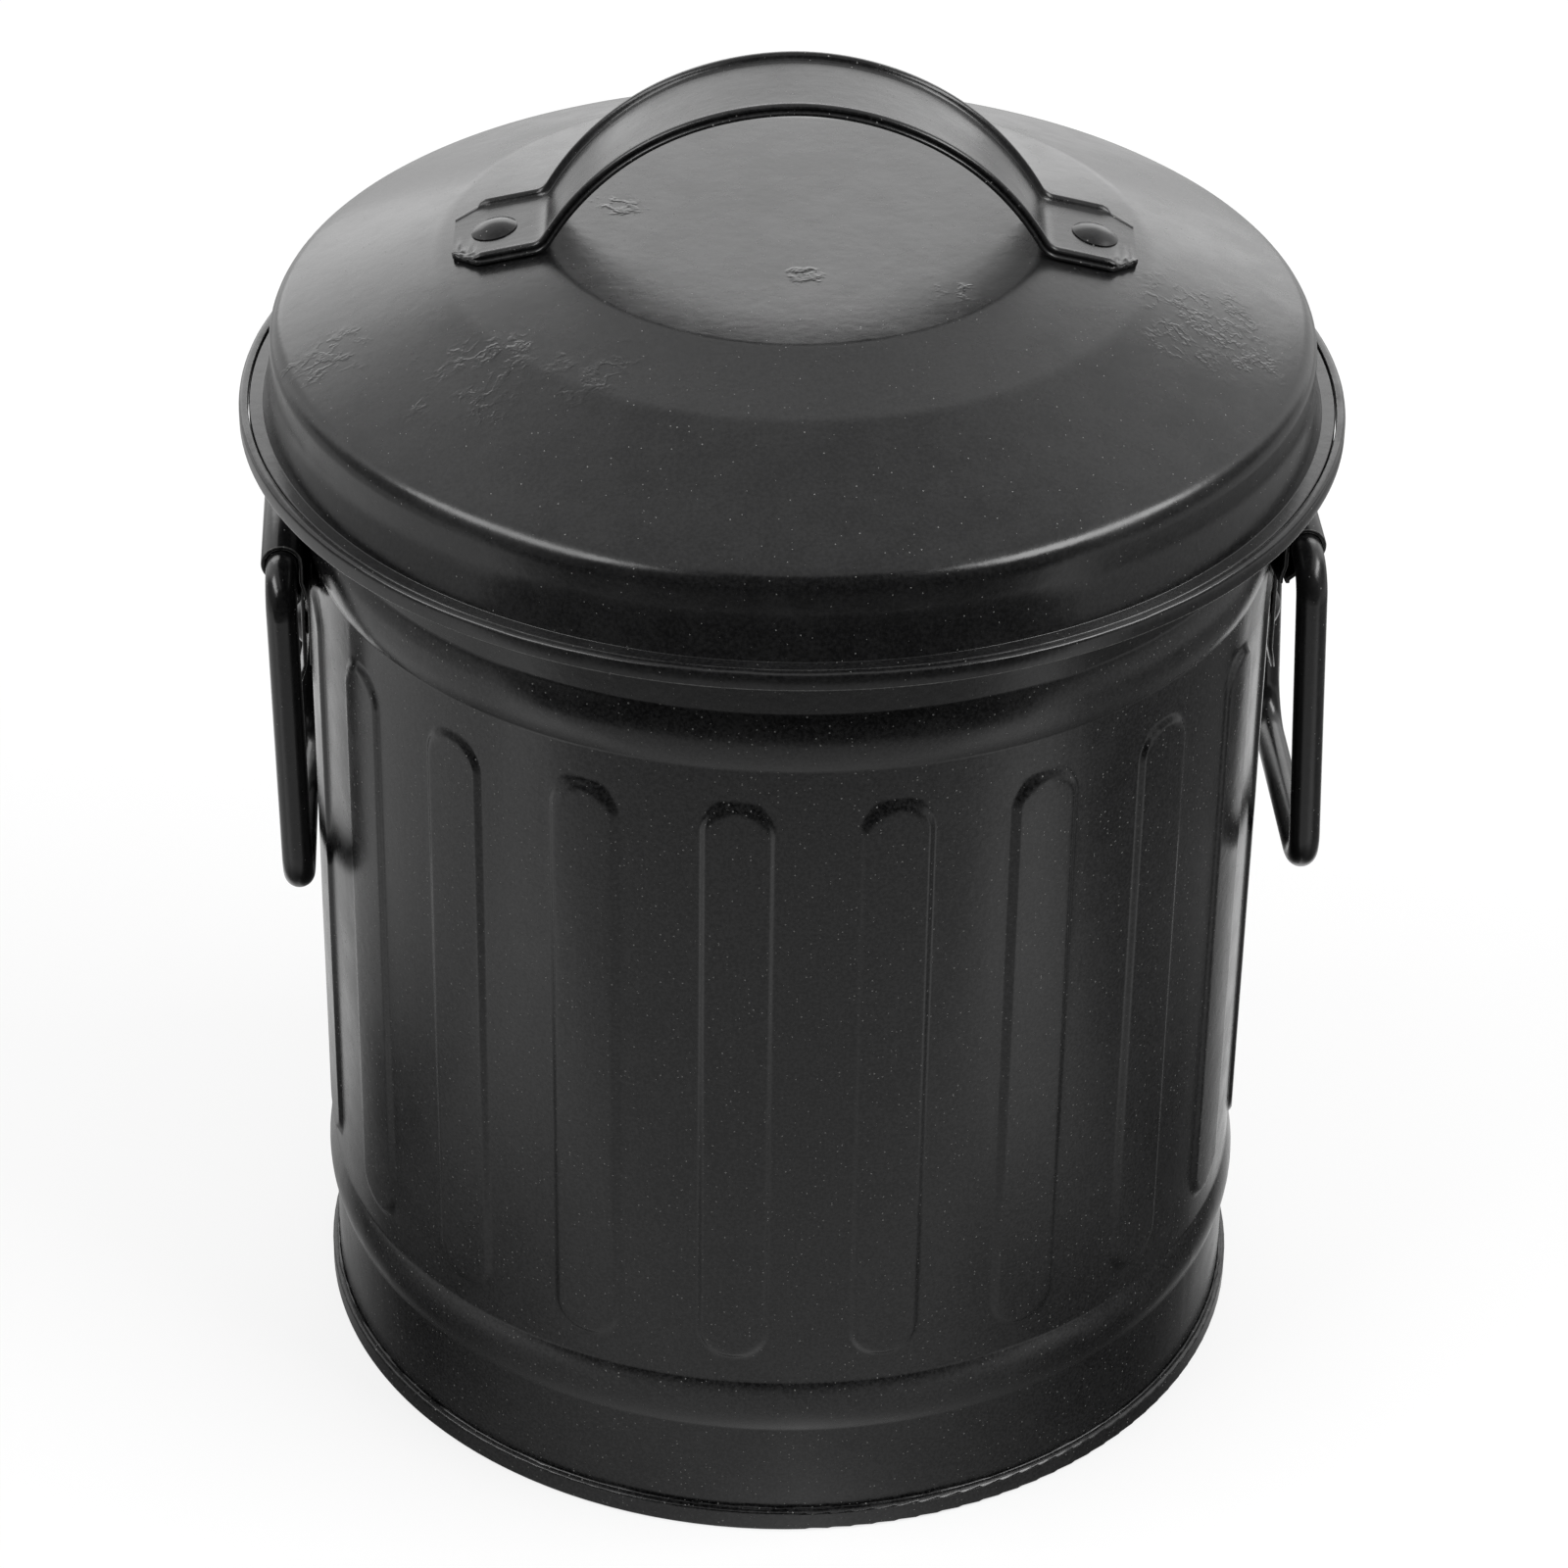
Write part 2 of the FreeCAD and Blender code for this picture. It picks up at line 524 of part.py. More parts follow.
def strap_path(body):
    """Top line of half the strap: an arch, a bend, and a tab that follows the shallow ring of the lid."""
    path = new_sketch(body, "strap_path", "XZ_Plane")
    top = FreeCAD.Vector(0, number(HANDLE_TOP), 0)
    joint, foot, end = strap_points()
    arch_middle = arc_middle(top, joint, size("handle_arch_radius"), LEFT_OF_PATH)
    bend_middle = arc_middle(joint, foot, size("handle_bend_radius"), RIGHT_OF_PATH)
    over = path.addGeometry(Part.Arc(top, arch_middle, joint))
    turn = path.addGeometry(Part.Arc(joint, bend_middle, foot))
    tab = path.addGeometry(Part.LineSegment(foot, end))
    ring_line = [
        ("sizes.lid_disc_radius", f"{LID_DISC} + {HEM_ON_RING}"),
        (LID_RING_RADIUS, f"{LID_RING} + {HEM_ON_RING}"),
    ]
    seat, _, _ = draw(path, ring_line, closed=False)[0]
    path.setConstruction(seat, True)
    path.addConstraint([
        Sketcher.Constraint("PointOnObject", over, 3, -2),
        Sketcher.Constraint("Tangent", over, 1, turn, 1),
        Sketcher.Constraint("Tangent", turn, 2, tab, 1),
        Sketcher.Constraint("Tangent", tab, seat),
    ])
    pin(path, over, 2, "0", HANDLE_TOP)
    bind(path, "Radius", over, expression="sizes.handle_arch_radius")
    bind(path, "Radius", turn, expression="sizes.handle_bend_radius")
    bind(path, "Distance", tab, expression="sizes.handle_tab")
    doc.recompute()
    return path


def lid_handle(placement, rivets):
    """Arched strap with folded edges and two riveted tabs, swept along half its run and mirrored."""
    body = new_body("handle_strap")
    path = strap_path(body)
    section = new_sketch(body, "strap_section", "YZ_Plane")
    edge = "(sizes.handle_width / 2 - sizes.handle_sheet)"
    fold = "(sizes.handle_width / 2 - sizes.handle_hem_width)"
    half = "sizes.handle_sheet"
    top = HANDLE_TOP
    draw(section, [
        (edge, top, half, LEFT_OF_PATH),
        (f"{edge} + {half}", f"{top} - {half}", half, LEFT_OF_PATH),
        (edge, f"{top} - {HANDLE_HEM}"),
        (fold, f"{top} - {HANDLE_HEM}"),
        (fold, f"{top} - sizes.handle_sheet"),
        (f"-{fold}", f"{top} - sizes.handle_sheet"),
        (f"-{fold}", f"{top} - {HANDLE_HEM}"),
        (f"-{edge}", f"{top} - {HANDLE_HEM}", half, LEFT_OF_PATH),
        (f"-{edge} - {half}", f"{top} - {half}", half, LEFT_OF_PATH),
        (f"-{edge}", top),
    ])
    strap = body.newObject("PartDesign::AdditivePipe", "half_strap")
    strap.Profile = section
    strap.Spine = (path, ["Edge1", "Edge2", "Edge3"])
    strap.Mode = "Binormal"
    strap.Binormal = ACROSS
    doc.recompute()
    mirrored = body.newObject("PartDesign::Mirrored", "whole_strap")
    mirrored.Originals = [strap]
    mirrored.MirrorPlane = (origin_plane(body, "YZ_Plane"), [""])
    body.Tip = mirrored
    doc.recompute()

    corners = new_sketch(body, "tab_corners", "XY_Plane")
    reach = strap_points()[2].x
    past_end = f"({reach} + {SPARE})"
    past_edge = f"(sizes.handle_width / 2 + {SPARE})"
    cut = f"(sizes.handle_corner + 2 * {SPARE})"
    for end in ("", "-"):
        for edge in ("", "-"):
            draw(corners, [
                (f"{end}{past_end}", f"{edge}({past_edge} - {cut})"),
                (f"{end}{past_end}", f"{edge}{past_edge}"),
                (f"{end}({past_end} - {cut})", f"{edge}{past_edge}"),
            ])
    pocket = body.newObject("PartDesign::Pocket", "cut_corners")
    pocket.Profile = corners
    pocket.Type = "ThroughAll"
    pocket.Midplane = True
    doc.recompute()
    strap_piece = drilled("lid_handle", body, rivets)
    strap_piece.Placement = placement
    return strap_piece


def rivet(name, grip, placement):
    """Round-head rivet, from the face under its head down to its hammered tail."""
    body = new_body(name)
    dome = "((sizes.rivet_head_radius ^ 2 + sizes.rivet_head_height ^ 2) / (2 * sizes.rivet_head_height))"
    revolve(body, f"{name}_turned", [
        ("0", f"-{grip} - sizes.rivet_tail_height"),
        ("sizes.rivet_tail_end", f"-{grip} - sizes.rivet_tail_height"),
        ("sizes.rivet_tail_radius", f"-{grip} - sizes.rivet_tail_height / 2"),
        ("sizes.rivet_tail_radius", f"-{grip}"),
        ("sizes.rivet_shank_radius", f"-{grip}"),
        ("sizes.rivet_shank_radius", "0"),
        ("sizes.rivet_head_radius", "0", dome, RIGHT_OF_PATH),
        ("0", "sizes.rivet_head_height"),
    ])
    body.Placement = placement
    return body


def bracket(name, placement, hole):
    """Sheet bracket: a strip over the wire and back, its two tails lying on each other and on the wall."""
    body = new_body(f"{name}_strip")
    side = new_sketch(body, f"{name}_side", "XZ_Plane")

    def knuckle(radius):
        """Corners of the curl at one radius: back, top, front and the end where the web leaves it."""
        return (
            (f"{HINGE_REACH} - {radius}", HINGE_HEIGHT),
            (HINGE_REACH, f"{HINGE_HEIGHT} + {radius}"),
            (f"{HINGE_REACH} + {radius}", HINGE_HEIGHT),
            (f"{HINGE_REACH} + {radius} * cos(sizes.bracket_wrap)",
             f"{HINGE_HEIGHT} - {radius} * sin(sizes.bracket_wrap)"),
        )

    def inner_tail(across, radius):
        """One face of the tail on the wall, upward, and its step out to the back of the knuckle."""
        return [
            (across, TIP_START),
            (across, STEP_FOOT),
            (f"{HINGE_REACH} - {radius}", SHOULDER_HEIGHT),
        ]

    def outer_tail(across, radius):
        """One face of the front tail, down from the web to its pointed tip."""
        return [
            (across, web_foot(radius, across)),
            (across, TIP_START),
            (f"{across} + sizes.bracket_flare", TIP_END),
        ]

    over = [corner + (KNUCKLE_RADIUS, LEFT_OF_PATH) for corner in knuckle(KNUCKLE_RADIUS)[:3]]
    under = [corner + (KNUCKLE_BORE, RIGHT_OF_PATH) for corner in knuckle(KNUCKLE_BORE)[:0:-1]]
    outside = inner_tail(BRACKET_FOOT, KNUCKLE_RADIUS) + over + [knuckle(KNUCKLE_RADIUS)[3]]
    outside += outer_tail(BRACKET_FRONT, KNUCKLE_RADIUS)
    inside = outer_tail(OUTER_TAIL, KNUCKLE_BORE)[::-1] + under + [knuckle(KNUCKLE_BORE)[0]]
    inside += inner_tail(f"({BRACKET_FOOT} + sizes.bracket_sheet)", KNUCKLE_BORE)[::-1]
    draw(side, outside + inside)
    strip = body.newObject("PartDesign::Pad", f"{name}_curled_strip")
    strip.Profile = side
    strip.setExpression("Length", "sizes.bracket_width")
    strip.Midplane = True
    doc.recompute()

    waist = new_sketch(body, f"{name}_waist", "YZ_Plane")
    far = f"(sizes.bracket_width / 2 + {SPARE})"
    for hand in ("", "-"):
        draw(waist, [
            (f"{hand}{far}", WAIST),
            (f"{hand}(sizes.bracket_width / 2)", WAIST),
            (f"{hand}({TONGUE_WIDTH} / 2)", f"{WAIST} - sizes.bracket_taper"),
            (f"{hand}({TONGUE_WIDTH} / 2)", TIP_START),
            (f"{hand}(sizes.bracket_tip_width / 2)", f"{TIP_END} - {SPARE}"),
            (f"{hand}{far}", f"{TIP_END} - {SPARE}"),
        ])
    trimmed = body.newObject("PartDesign::Pocket", f"{name}_tongue")
    trimmed.Profile = waist
    trimmed.Type = "ThroughAll"
    trimmed.Midplane = True
    doc.recompute()
    piece = drilled(name, body, [hole])
    piece.Placement = placement
    return piece


def bail(name, placement, lean):
    """Wire loop hanging in its knuckle: half of it swept and mirrored, its ends butting in the knuckle."""
    body = new_body(name)
    path = new_sketch(body, f"{name}_path", "YZ_Plane")
    level = HINGE_HEIGHT
    leg = "(sizes.bracket_width / 2 + sizes.bail_side_room + sizes.bail_top_bend)"
    bottom = f"({level} - sizes.bail_height)"
    path.setExpression("AttachmentOffset.Base.z", HINGE_REACH)
    draw(path, [
        ("0", level),
        (f"{leg} - sizes.bail_top_bend", level, "sizes.bail_top_bend", LEFT_OF_PATH),
        (leg, f"{level} - sizes.bail_top_bend"),
        (leg, f"{bottom} + sizes.bail_bottom_bend", "sizes.bail_bottom_bend", LEFT_OF_PATH),
        (f"{leg} - sizes.bail_bottom_bend", bottom),
        ("0", bottom),
    ], closed=False)
    ring = new_sketch(body, f"{name}_wire", "XZ_Plane")
    start = FreeCAD.Vector(number(HINGE_REACH), number(HINGE_HEIGHT), 0)
    ring.addGeometry(Part.Circle(start, FreeCAD.Vector(0, 0, 1), size("wire_radius")))
    pin(ring, 0, 3, HINGE_REACH, level)
    bind(ring, "Radius", 0, expression="sizes.wire_radius")
    doc.recompute()
    wire = body.newObject("PartDesign::AdditivePipe", f"{name}_half")
    wire.Profile = ring
    wire.Spine = (path, [f"Edge{index}" for index in range(1, 6)])
    doc.recompute()
    mirrored = body.newObject("PartDesign::Mirrored", f"{name}_whole")
    mirrored.Originals = [wire]
    mirrored.MirrorPlane = (origin_plane(body, "XZ_Plane"), [""])
    body.Tip = mirrored
    doc.recompute()
    hinge = FreeCAD.Vector(number(HINGE_REACH), 0, number(HINGE_HEIGHT))
    body.Placement = placement * FreeCAD.Placement(FreeCAD.Vector(), FreeCAD.Rotation(ACROSS, -lean), hinge)
    return body


def lid_height():
    """Height of the lip when the dome rests on the curled rim."""
    slope = math.radians(number(DOME_SLOPE))
    stand = size("curl_radius") + size("lid_rest_gap") + size("lid_sheet")
    inward = (number(LID_SKIRT_RADIUS) - number(CURL_CENTRE)) * math.sin(slope)
    shoulder = number(CURL_LEVEL) + (stand - inward) / math.cos(slope)
    return shoulder - number(LID_SHOULDER)


def on_tab(side):
    """Place of a lid rivet's head on the middle of its tab, square to it, in the lid's own frame."""
    _, foot, end = strap_points()
    middle = (foot + end) / 2
    square = FreeCAD.Rotation(ACROSS, side * number(RING_SLOPE))
    return FreeCAD.Placement(FreeCAD.Vector(side * middle.x, 0, middle.y), square)


def lid_grip():
    """Depth from a lid rivet's head to its tail, more where the tail would reach in under the flat disc."""
    tail_edge = on_tab(sides["right"]).Base.x - size("rivet_tail_radius")
    under_disc = f"max(0; sizes.lid_disc_radius - {tail_edge}) * sin({RING_SLOPE})"
    return f"({HANDLE_HEM} + sizes.lid_sheet + sizes.rivet_play + {under_disc})"


def write(pieces):
    """Check the whole document, then write one file for each piece."""
    failed = [item.Name for item in doc.Objects if {"Invalid", "Error"} & set(item.State)]
    failed += [piece.Label for piece in pieces if piece.Shape.isNull() or not piece.Shape.isValid()]
    failed += [piece.Label for piece in pieces if len(piece.Shape.Solids) != 1]
    if failed:
        raise RuntimeError(f"not sound: {failed}")
    os.makedirs("parts", exist_ok=True)
    for piece in pieces:
        piece.Shape.exportStep(f"parts/{piece.Label}.step")


fill_sheet()
lid_place = FreeCAD.Placement(FreeCAD.Vector(0, 0, lid_height()), FreeCAD.Rotation(UPRIGHT, size("lid_turn")))
on_wall = FreeCAD.Placement(
    FreeCAD.Vector(number(BRACKET_FRONT), 0, number(BRACKET_RIVET)),
    FreeCAD.Rotation(ACROSS, 90),
)
hands = {
    "right": FreeCAD.Placement(),
    "left": FreeCAD.Placement(FreeCAD.Vector(), FreeCAD.Rotation(UPRIGHT, 180)),
}
sides = {"right": 1, "left": -1}
bracket_grip = f"({BRACKET_FRONT} - {CAN_INSIDE} + sizes.rivet_play)"

made = [
    can_wall([hand * on_wall for hand in hands.values()]),
    can_base(),
    lid_shell(lid_place, [on_tab(side) for side in sides.values()]),
    lid_handle(lid_place, [on_tab(side) for side in sides.values()]),
]
for label, hand in hands.items():
    made.append(bracket(f"{label}_bracket", hand, on_wall))
    made.append(rivet(f"{label}_bracket_rivet", bracket_grip, hand * on_wall))
    made.append(bail(f"{label}_bail", hand, size(f"{label}_bail_lean")))
    made.append(rivet(f"{label}_lid_rivet", lid_grip(), lid_place * on_tab(sides[label])))
doc.recompute()
write(made)
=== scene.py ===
"""Looks of a small black metal dustbin: satin paint on pressed sheet, folded strap and bent wire.

Sizes are millimetres where nothing else is said, and meshes are metres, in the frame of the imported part: +Z is up,
the viewer stands on -Y, and the bails hang at the ends of X.
"""

from __future__ import annotations

import json
import logging
import math
from collections.abc import Callable
from dataclasses import dataclass
from enum import Enum
from typing import Any

import bpy
from mathutils import Matrix, Quaternion, Vector, noise

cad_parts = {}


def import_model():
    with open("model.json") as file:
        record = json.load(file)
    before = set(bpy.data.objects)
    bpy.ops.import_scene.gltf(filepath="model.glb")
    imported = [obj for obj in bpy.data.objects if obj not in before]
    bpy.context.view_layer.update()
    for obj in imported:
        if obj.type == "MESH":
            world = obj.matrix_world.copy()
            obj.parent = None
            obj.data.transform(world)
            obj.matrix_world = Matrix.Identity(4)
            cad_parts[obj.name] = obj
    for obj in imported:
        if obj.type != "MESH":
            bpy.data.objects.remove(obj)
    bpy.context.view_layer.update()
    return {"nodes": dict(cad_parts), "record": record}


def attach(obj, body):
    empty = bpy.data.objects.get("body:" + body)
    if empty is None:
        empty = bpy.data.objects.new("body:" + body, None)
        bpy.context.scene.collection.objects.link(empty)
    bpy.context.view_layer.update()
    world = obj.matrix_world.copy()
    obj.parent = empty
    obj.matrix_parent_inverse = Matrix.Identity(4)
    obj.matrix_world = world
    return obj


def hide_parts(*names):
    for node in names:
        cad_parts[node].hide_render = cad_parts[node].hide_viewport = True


LOG = logging.getLogger("dustbin")
MM = 0.001
MERGE = 0.002 * MM
FULL_TURN = 2 * math.pi
FAR_BACK = Vector((0, 1, 0.06))
FAR_ABOVE = Vector((0, 0, 1))

Piece = bpy.types.Object
Paint = bpy.types.Material
Colour = tuple[float, float, float, float]
Point = tuple[float, float]
Triple = tuple[float, float, float]
Span = tuple[float, float]
Wave = tuple[float, float]

WHITE: Colour = (1, 1, 1, 1)


class Body(Enum):
    """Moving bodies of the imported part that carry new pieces."""

    CAN = "can"
    LID = "lid"


class Slot(Enum):
    """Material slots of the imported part."""

    CAN = "can_paint"
    LID = "lid_paint"
    FITTINGS = "fittings_paint"


class Wire:
    """Output socket of a shader node, with arithmetic that adds Math nodes."""

    def __init__(self, tree: ShaderTree, socket: bpy.types.NodeSocket) -> None:
        """Keep the socket and the tree that it belongs to."""
        self.tree = tree
        self.socket = socket

    def math(self, operation: str, first: Any, second: Any = 0.0) -> Wire:
        """Output of a new Math node for one operation on two numbers or wires."""
        return self.tree.node("ShaderNodeMath", {"operation": operation}, {0: first, 1: second})

    def __add__(self, other: Any) -> Wire:
        """Sum."""
        return self.math("ADD", self, other)

    __radd__ = __add__

    def __sub__(self, other: Any) -> Wire:
        """Difference."""
        return self.math("SUBTRACT", self, other)

    def __rsub__(self, other: Any) -> Wire:
        """Difference from a number."""
        return self.math("SUBTRACT", other, self)

    def __mul__(self, other: Any) -> Wire:
        """Product."""
        return self.math("MULTIPLY", self, other)

    __rmul__ = __mul__

    def absolute(self) -> Wire:
        """Value without its sign."""
        return self.math("ABSOLUTE", self)

    def at_least(self, other: Any) -> Wire:
        """The larger of this value and another."""
        return self.math("MAXIMUM", self, other)

    def ramp(self, low: float, high: float) -> Wire:
        """Smooth rise from zero at low to one at high."""
        inputs = {"Value": self, "From Min": low, "From Max": high}
        return self.tree.node("ShaderNodeMapRange", {"interpolation_type": "SMOOTHSTEP"}, inputs)


class ShaderTree:
    """Node tree of one material or world, filled through a single method."""

    def __init__(self, owner: bpy.types.ID, coordinates: str = "Object") -> None:
        """Empty the owner's node tree and add its coordinates.

        Args:
            owner: material or world.
            coordinates: output of the Texture Coordinate node that gives the place of a point.
        """
        owner.use_nodes = True
        self.nodes = owner.node_tree.nodes
        self.links = owner.node_tree.links
        self.nodes.clear()
        self.place = self.node("ShaderNodeTexCoord", {}, {}, coordinates)

    def node(self, kind: str, settings: dict[str, Any], inputs: dict[Any, Any], output: Any = 0) -> Wire:
        """Add a node, set it up and feed its sockets.

        Args:
            kind: the node's type.
            settings: properties to set first.
            inputs: socket name or index to a number, colour, vector or wire.
            output: name or index of the socket to return.

        Returns:
            The chosen output, or the first input of a node that has none.
        """
        made = self.nodes.new(kind)
        for name, value in settings.items():
            setattr(made, name, value)
        for key, value in inputs.items():
            if isinstance(value, Wire):
                self.links.new(value.socket, made.inputs[key])
            else:
                made.inputs[key].default_value = value
        return Wire(self, made.outputs[output]) if made.outputs else Wire(self, made.inputs[0])

    def axis(self, name: str, place: Wire | None = None) -> Wire:
        """One coordinate of the tree's place or another."""
        return self.node("ShaderNodeSeparateXYZ", {}, {0: place or self.place}, name)

    def away(self) -> Wire:
        """Distance of the place from the origin."""
        return self.node("ShaderNodeVectorMath", {"operation": "LENGTH"}, {0: self.place}, "Value")

    def ray(self, kind: str) -> Wire:
        """Whether the ray is of a kind that the Light Path node names."""
        return self.node("ShaderNodeLightPath", {}, {}, kind)

    def noise(self, grain: float, detail: float = 2.0, place: Wire | None = None) -> Wire:
        """Noise of a grain and detail, between about -0.5 and 0.5, at the tree's place or another."""
        inputs = {"Vector": place or self.place, "Scale": 1 / (grain * MM), "Detail": detail, "Roughness": 0.5}
        return self.node("ShaderNodeTexNoise", {}, inputs, "Fac") - 0.5

    def blend(self, amount: Wire, first: Any, second: Any) -> Wire:
        """Mix of two colours, the first where the amount is zero and the second where it is one."""
        return self.node("ShaderNodeMix", {"data_type": "RGBA"}, {0: amount, 6: first, 7: second}, 2)


@dataclass(frozen=True)
class Patch:
    """Blistered place in the paint, with a ragged edge and wrinkles that come and go.

    The edge's grain and raggedness and the core are shares of the radius, and the spacings are in grains.
    """

    centre: Triple
    radius: float
    height: float
    grain: float
    edge_grain: float = 0.5
    edge_raggedness: float = 1.4
    core: float = 0.45
    fold_spacing: float = 1.8
    fold_width: float = 0.1
    gap_spacing: float = 3.2
    gap_soft: float = 0.12

    def layers(self, tree: ShaderTree) -> tuple[Wire, Wire]:
        """Add the patch's nodes.

        Args:
            tree: the material's nodes.

        Returns:
            How far a place lies inside the patch, and the height of its wrinkles in millimetres.
        """
        centre = tuple(value * MM for value in self.centre)
        away = tree.node("ShaderNodeVectorMath", {"operation": "DISTANCE"}, {0: tree.place, 1: centre}, "Value")
        edge = tree.noise(self.radius * self.edge_grain) * self.radius * self.edge_raggedness
        inside = 1 - (away * (1 / MM) + edge).ramp(self.radius * self.core, self.radius)
        folds = tree.noise(self.grain * self.fold_spacing, 3.0)
        wrinkles = 1 - folds.absolute().ramp(0.0, self.fold_width)
        gaps = tree.noise(self.grain * self.gap_spacing, 1.0).ramp(-self.gap_soft, self.gap_soft)
        return inside, inside * gaps * wrinkles * self.height


@dataclass(frozen=True)
class SatinPaint:
    """Satin black paint sprayed on sheet steel, with orange peel, dust and thin rough places."""

    name: str
    colour: Colour = (0.0035, 0.0035, 0.0037, 1.0)
    thin_colour: Colour = (0.0135, 0.0135, 0.0138, 1.0)
    dust_colour: Colour = (0.22, 0.22, 0.215, 1.0)
    gloss_roughness: float = 0.2
    dull_roughness: float = 0.3
    specular: float = 0.5
    sheet_wave: float = 0.03
    sheet_wave_grain: float = 19.0
    peel: float = 0.018
    peel_grain: float = 1.4
    grit: float = 0.0035
    grit_grain: float = 0.34
    brush: float = 0.0
    brush_grain: float = 0.9
    brush_draw: Triple = (0.08, 1.0, 0.08)
    cloud_grain: float = 26.0
    mottle_grain: float = 4.5
    speckle_grain: float = 0.42
    speckle: float = 1.6
    unevenness: float = 0.6
    thin_span: Span = (-0.5, 0.5)
    dull_cloud: float = 1.2
    dull_mottle: float = 0.8
    dull_span: Span = (-0.3, 0.35)
    dull_patch: float = 0.5
    dust_cell: float = 0.66
    dust_size: float = 0.18
    dust_edge: float = 0.25
    dust_height: float = 0.02
    dust_cover: float = 0.8
    dust_roughness: float = 0.4
    patches: tuple[Patch, ...] = ()

    def dust(self, tree: ShaderTree) -> Wire:
        """Add white specks, each of its own size.

        Args:
            tree: the material's nodes.

        Returns:
            One on a speck, else zero.
        """
        inputs = {"Vector": tree.place, "Scale": 1 / (self.dust_cell * MM)}
        away = tree.node("ShaderNodeTexVoronoi", {}, inputs, "Distance")
        chance = tree.node("ShaderNodeTexVoronoi", {}, inputs, "Color")
        share = tree.node("ShaderNodeSeparateColor", {}, {"Color": chance}, "Red")
        reach = share * share * self.dust_size
        return (reach - away).ramp(0.0, self.dust_size * self.dust_edge)

    def relief(self, tree: ShaderTree) -> Wire:
        """Add the unevenness of the sheet and the paint.

        Args:
            tree: the material's nodes.

        Returns:
            Height in millimetres.
        """
        height = (
            tree.noise(self.sheet_wave_grain, 1.0) * self.sheet_wave
            + tree.noise(self.peel_grain, 1.5) * self.peel
            + tree.noise(self.grit_grain, 1.0) * self.grit
        )
        if self.brush:
            factors = {0: tree.place, 1: self.brush_draw}
            drawn = tree.node("ShaderNodeVectorMath", {"operation": "MULTIPLY"}, factors)
            height = height + tree.noise(self.brush_grain, 2.0, drawn) * self.brush
        return height

    def material(self) -> Paint:
        """Make the material of this finish.

        Returns:
            The new material.
        """
        made = bpy.data.materials.new(self.name)
        tree = ShaderTree(made)
        rough = [patch.layers(tree) for patch in self.patches]
        cover = sum(inside for inside, _ in rough)
        blister = sum(wrinkles for _, wrinkles in rough)
        speck = self.dust(tree)
        cloud = tree.noise(self.cloud_grain, 3.0)
        mottle = tree.noise(self.mottle_grain, 3.0)
        height = self.relief(tree) + speck * self.dust_height + blister
        bump = tree.node("ShaderNodeBump", {}, {"Strength": 1.0, "Distance": MM, "Height": height})
        speckle = tree.noise(self.speckle_grain, 2.0) * self.speckle
        thin = ((cloud + mottle) * self.unevenness + speckle).ramp(*self.thin_span)
        film = tree.blend(thin, self.colour, self.thin_colour)
        dull = (cloud * self.dull_cloud + mottle * self.dull_mottle).ramp(*self.dull_span)
        dull = dull + cover * self.dull_patch
        satin = dull * (self.dull_roughness - self.gloss_roughness) + self.gloss_roughness
        surface = tree.node("ShaderNodeBsdfPrincipled", {}, {
            "Base Color": tree.blend(speck * self.dust_cover, film, self.dust_colour),
            "Roughness": satin + speck * self.dust_roughness,
            "Specular IOR Level": self.specular,
            "Normal": bump,
        })
        tree.node("ShaderNodeOutputMaterial", {}, {"Surface": surface})
        return made


def choose(piece: Piece) -> None:
    """Select one piece and nothing else.

    Args:
        piece: the piece.
    """
    bpy.ops.object.select_all(action="DESELECT")
    piece.select_set(True)
    bpy.context.view_layer.objects.active = piece


def draw(name: str, points: list[Vector]) -> Piece:
    """Draw a line of points, leaving it selected in edit mode.

    Args:
        name: the new piece's name.
        points: places in metres.

    Returns:
        The new piece.
    """
    bpy.ops.object.select_all(action="DESELECT")
    bpy.ops.mesh.primitive_plane_add(size=MM)
    piece = bpy.context.object
    piece.name = name
    piece.data.name = name
    bpy.ops.object.mode_set(mode="EDIT")
    bpy.ops.mesh.select_mode(type="VERT")
    bpy.ops.mesh.select_all(action="SELECT")
    bpy.ops.mesh.merge(type="CENTER")
    bpy.ops.transform.translate(value=points[0])
    for start, stop in zip(points, points[1:]):
        bpy.ops.mesh.extrude_region_move(TRANSFORM_OT_translate={"value": stop - start})
    bpy.ops.mesh.select_all(action="SELECT")
    return piece


def spin(angle: float, steps: int, copies: bool = False) -> None:
    """Spin what is selected about the upright axis, into a surface or into separate copies."""
    bpy.ops.mesh.spin(steps=steps, dupli=copies, angle=angle, center=(0, 0, 0), axis=(0, 0, 1))


def close(piece: Piece, outside: Vector | None = None) -> None:
    """Merge doubles, turn the faces outwards and leave edit mode.

    Args:
        piece: the piece in edit mode.
        outside: point that lies outside every sheet, or none to trust the closed shape.
    """
    bpy.ops.mesh.select_all(action="SELECT")
    bpy.ops.mesh.remove_doubles(threshold=MERGE)
    bpy.ops.mesh.normals_make_consistent(inside=False)
    bpy.ops.object.mode_set(mode="OBJECT")
    if outside is None:
        return
    nearest = min(piece.data.polygons, key=lambda face: (face.center - outside).length)
    if nearest.normal.dot(outside - nearest.center) < 0:
        bpy.ops.object.mode_set(mode="EDIT")
        bpy.ops.mesh.select_all(action="SELECT")
        bpy.ops.mesh.flip_normals()
        bpy.ops.object.mode_set(mode="OBJECT")


def reshape(piece: Piece, rule: Callable[[Vector], Vector]) -> None:
    """Put every vertex where a rule says.

    Args:
        piece: the piece in object mode.
        rule: gives a vertex's new place from its old one.
    """
    for vertex in piece.data.vertices:
        vertex.co = rule(vertex.co)
    piece.data.update()


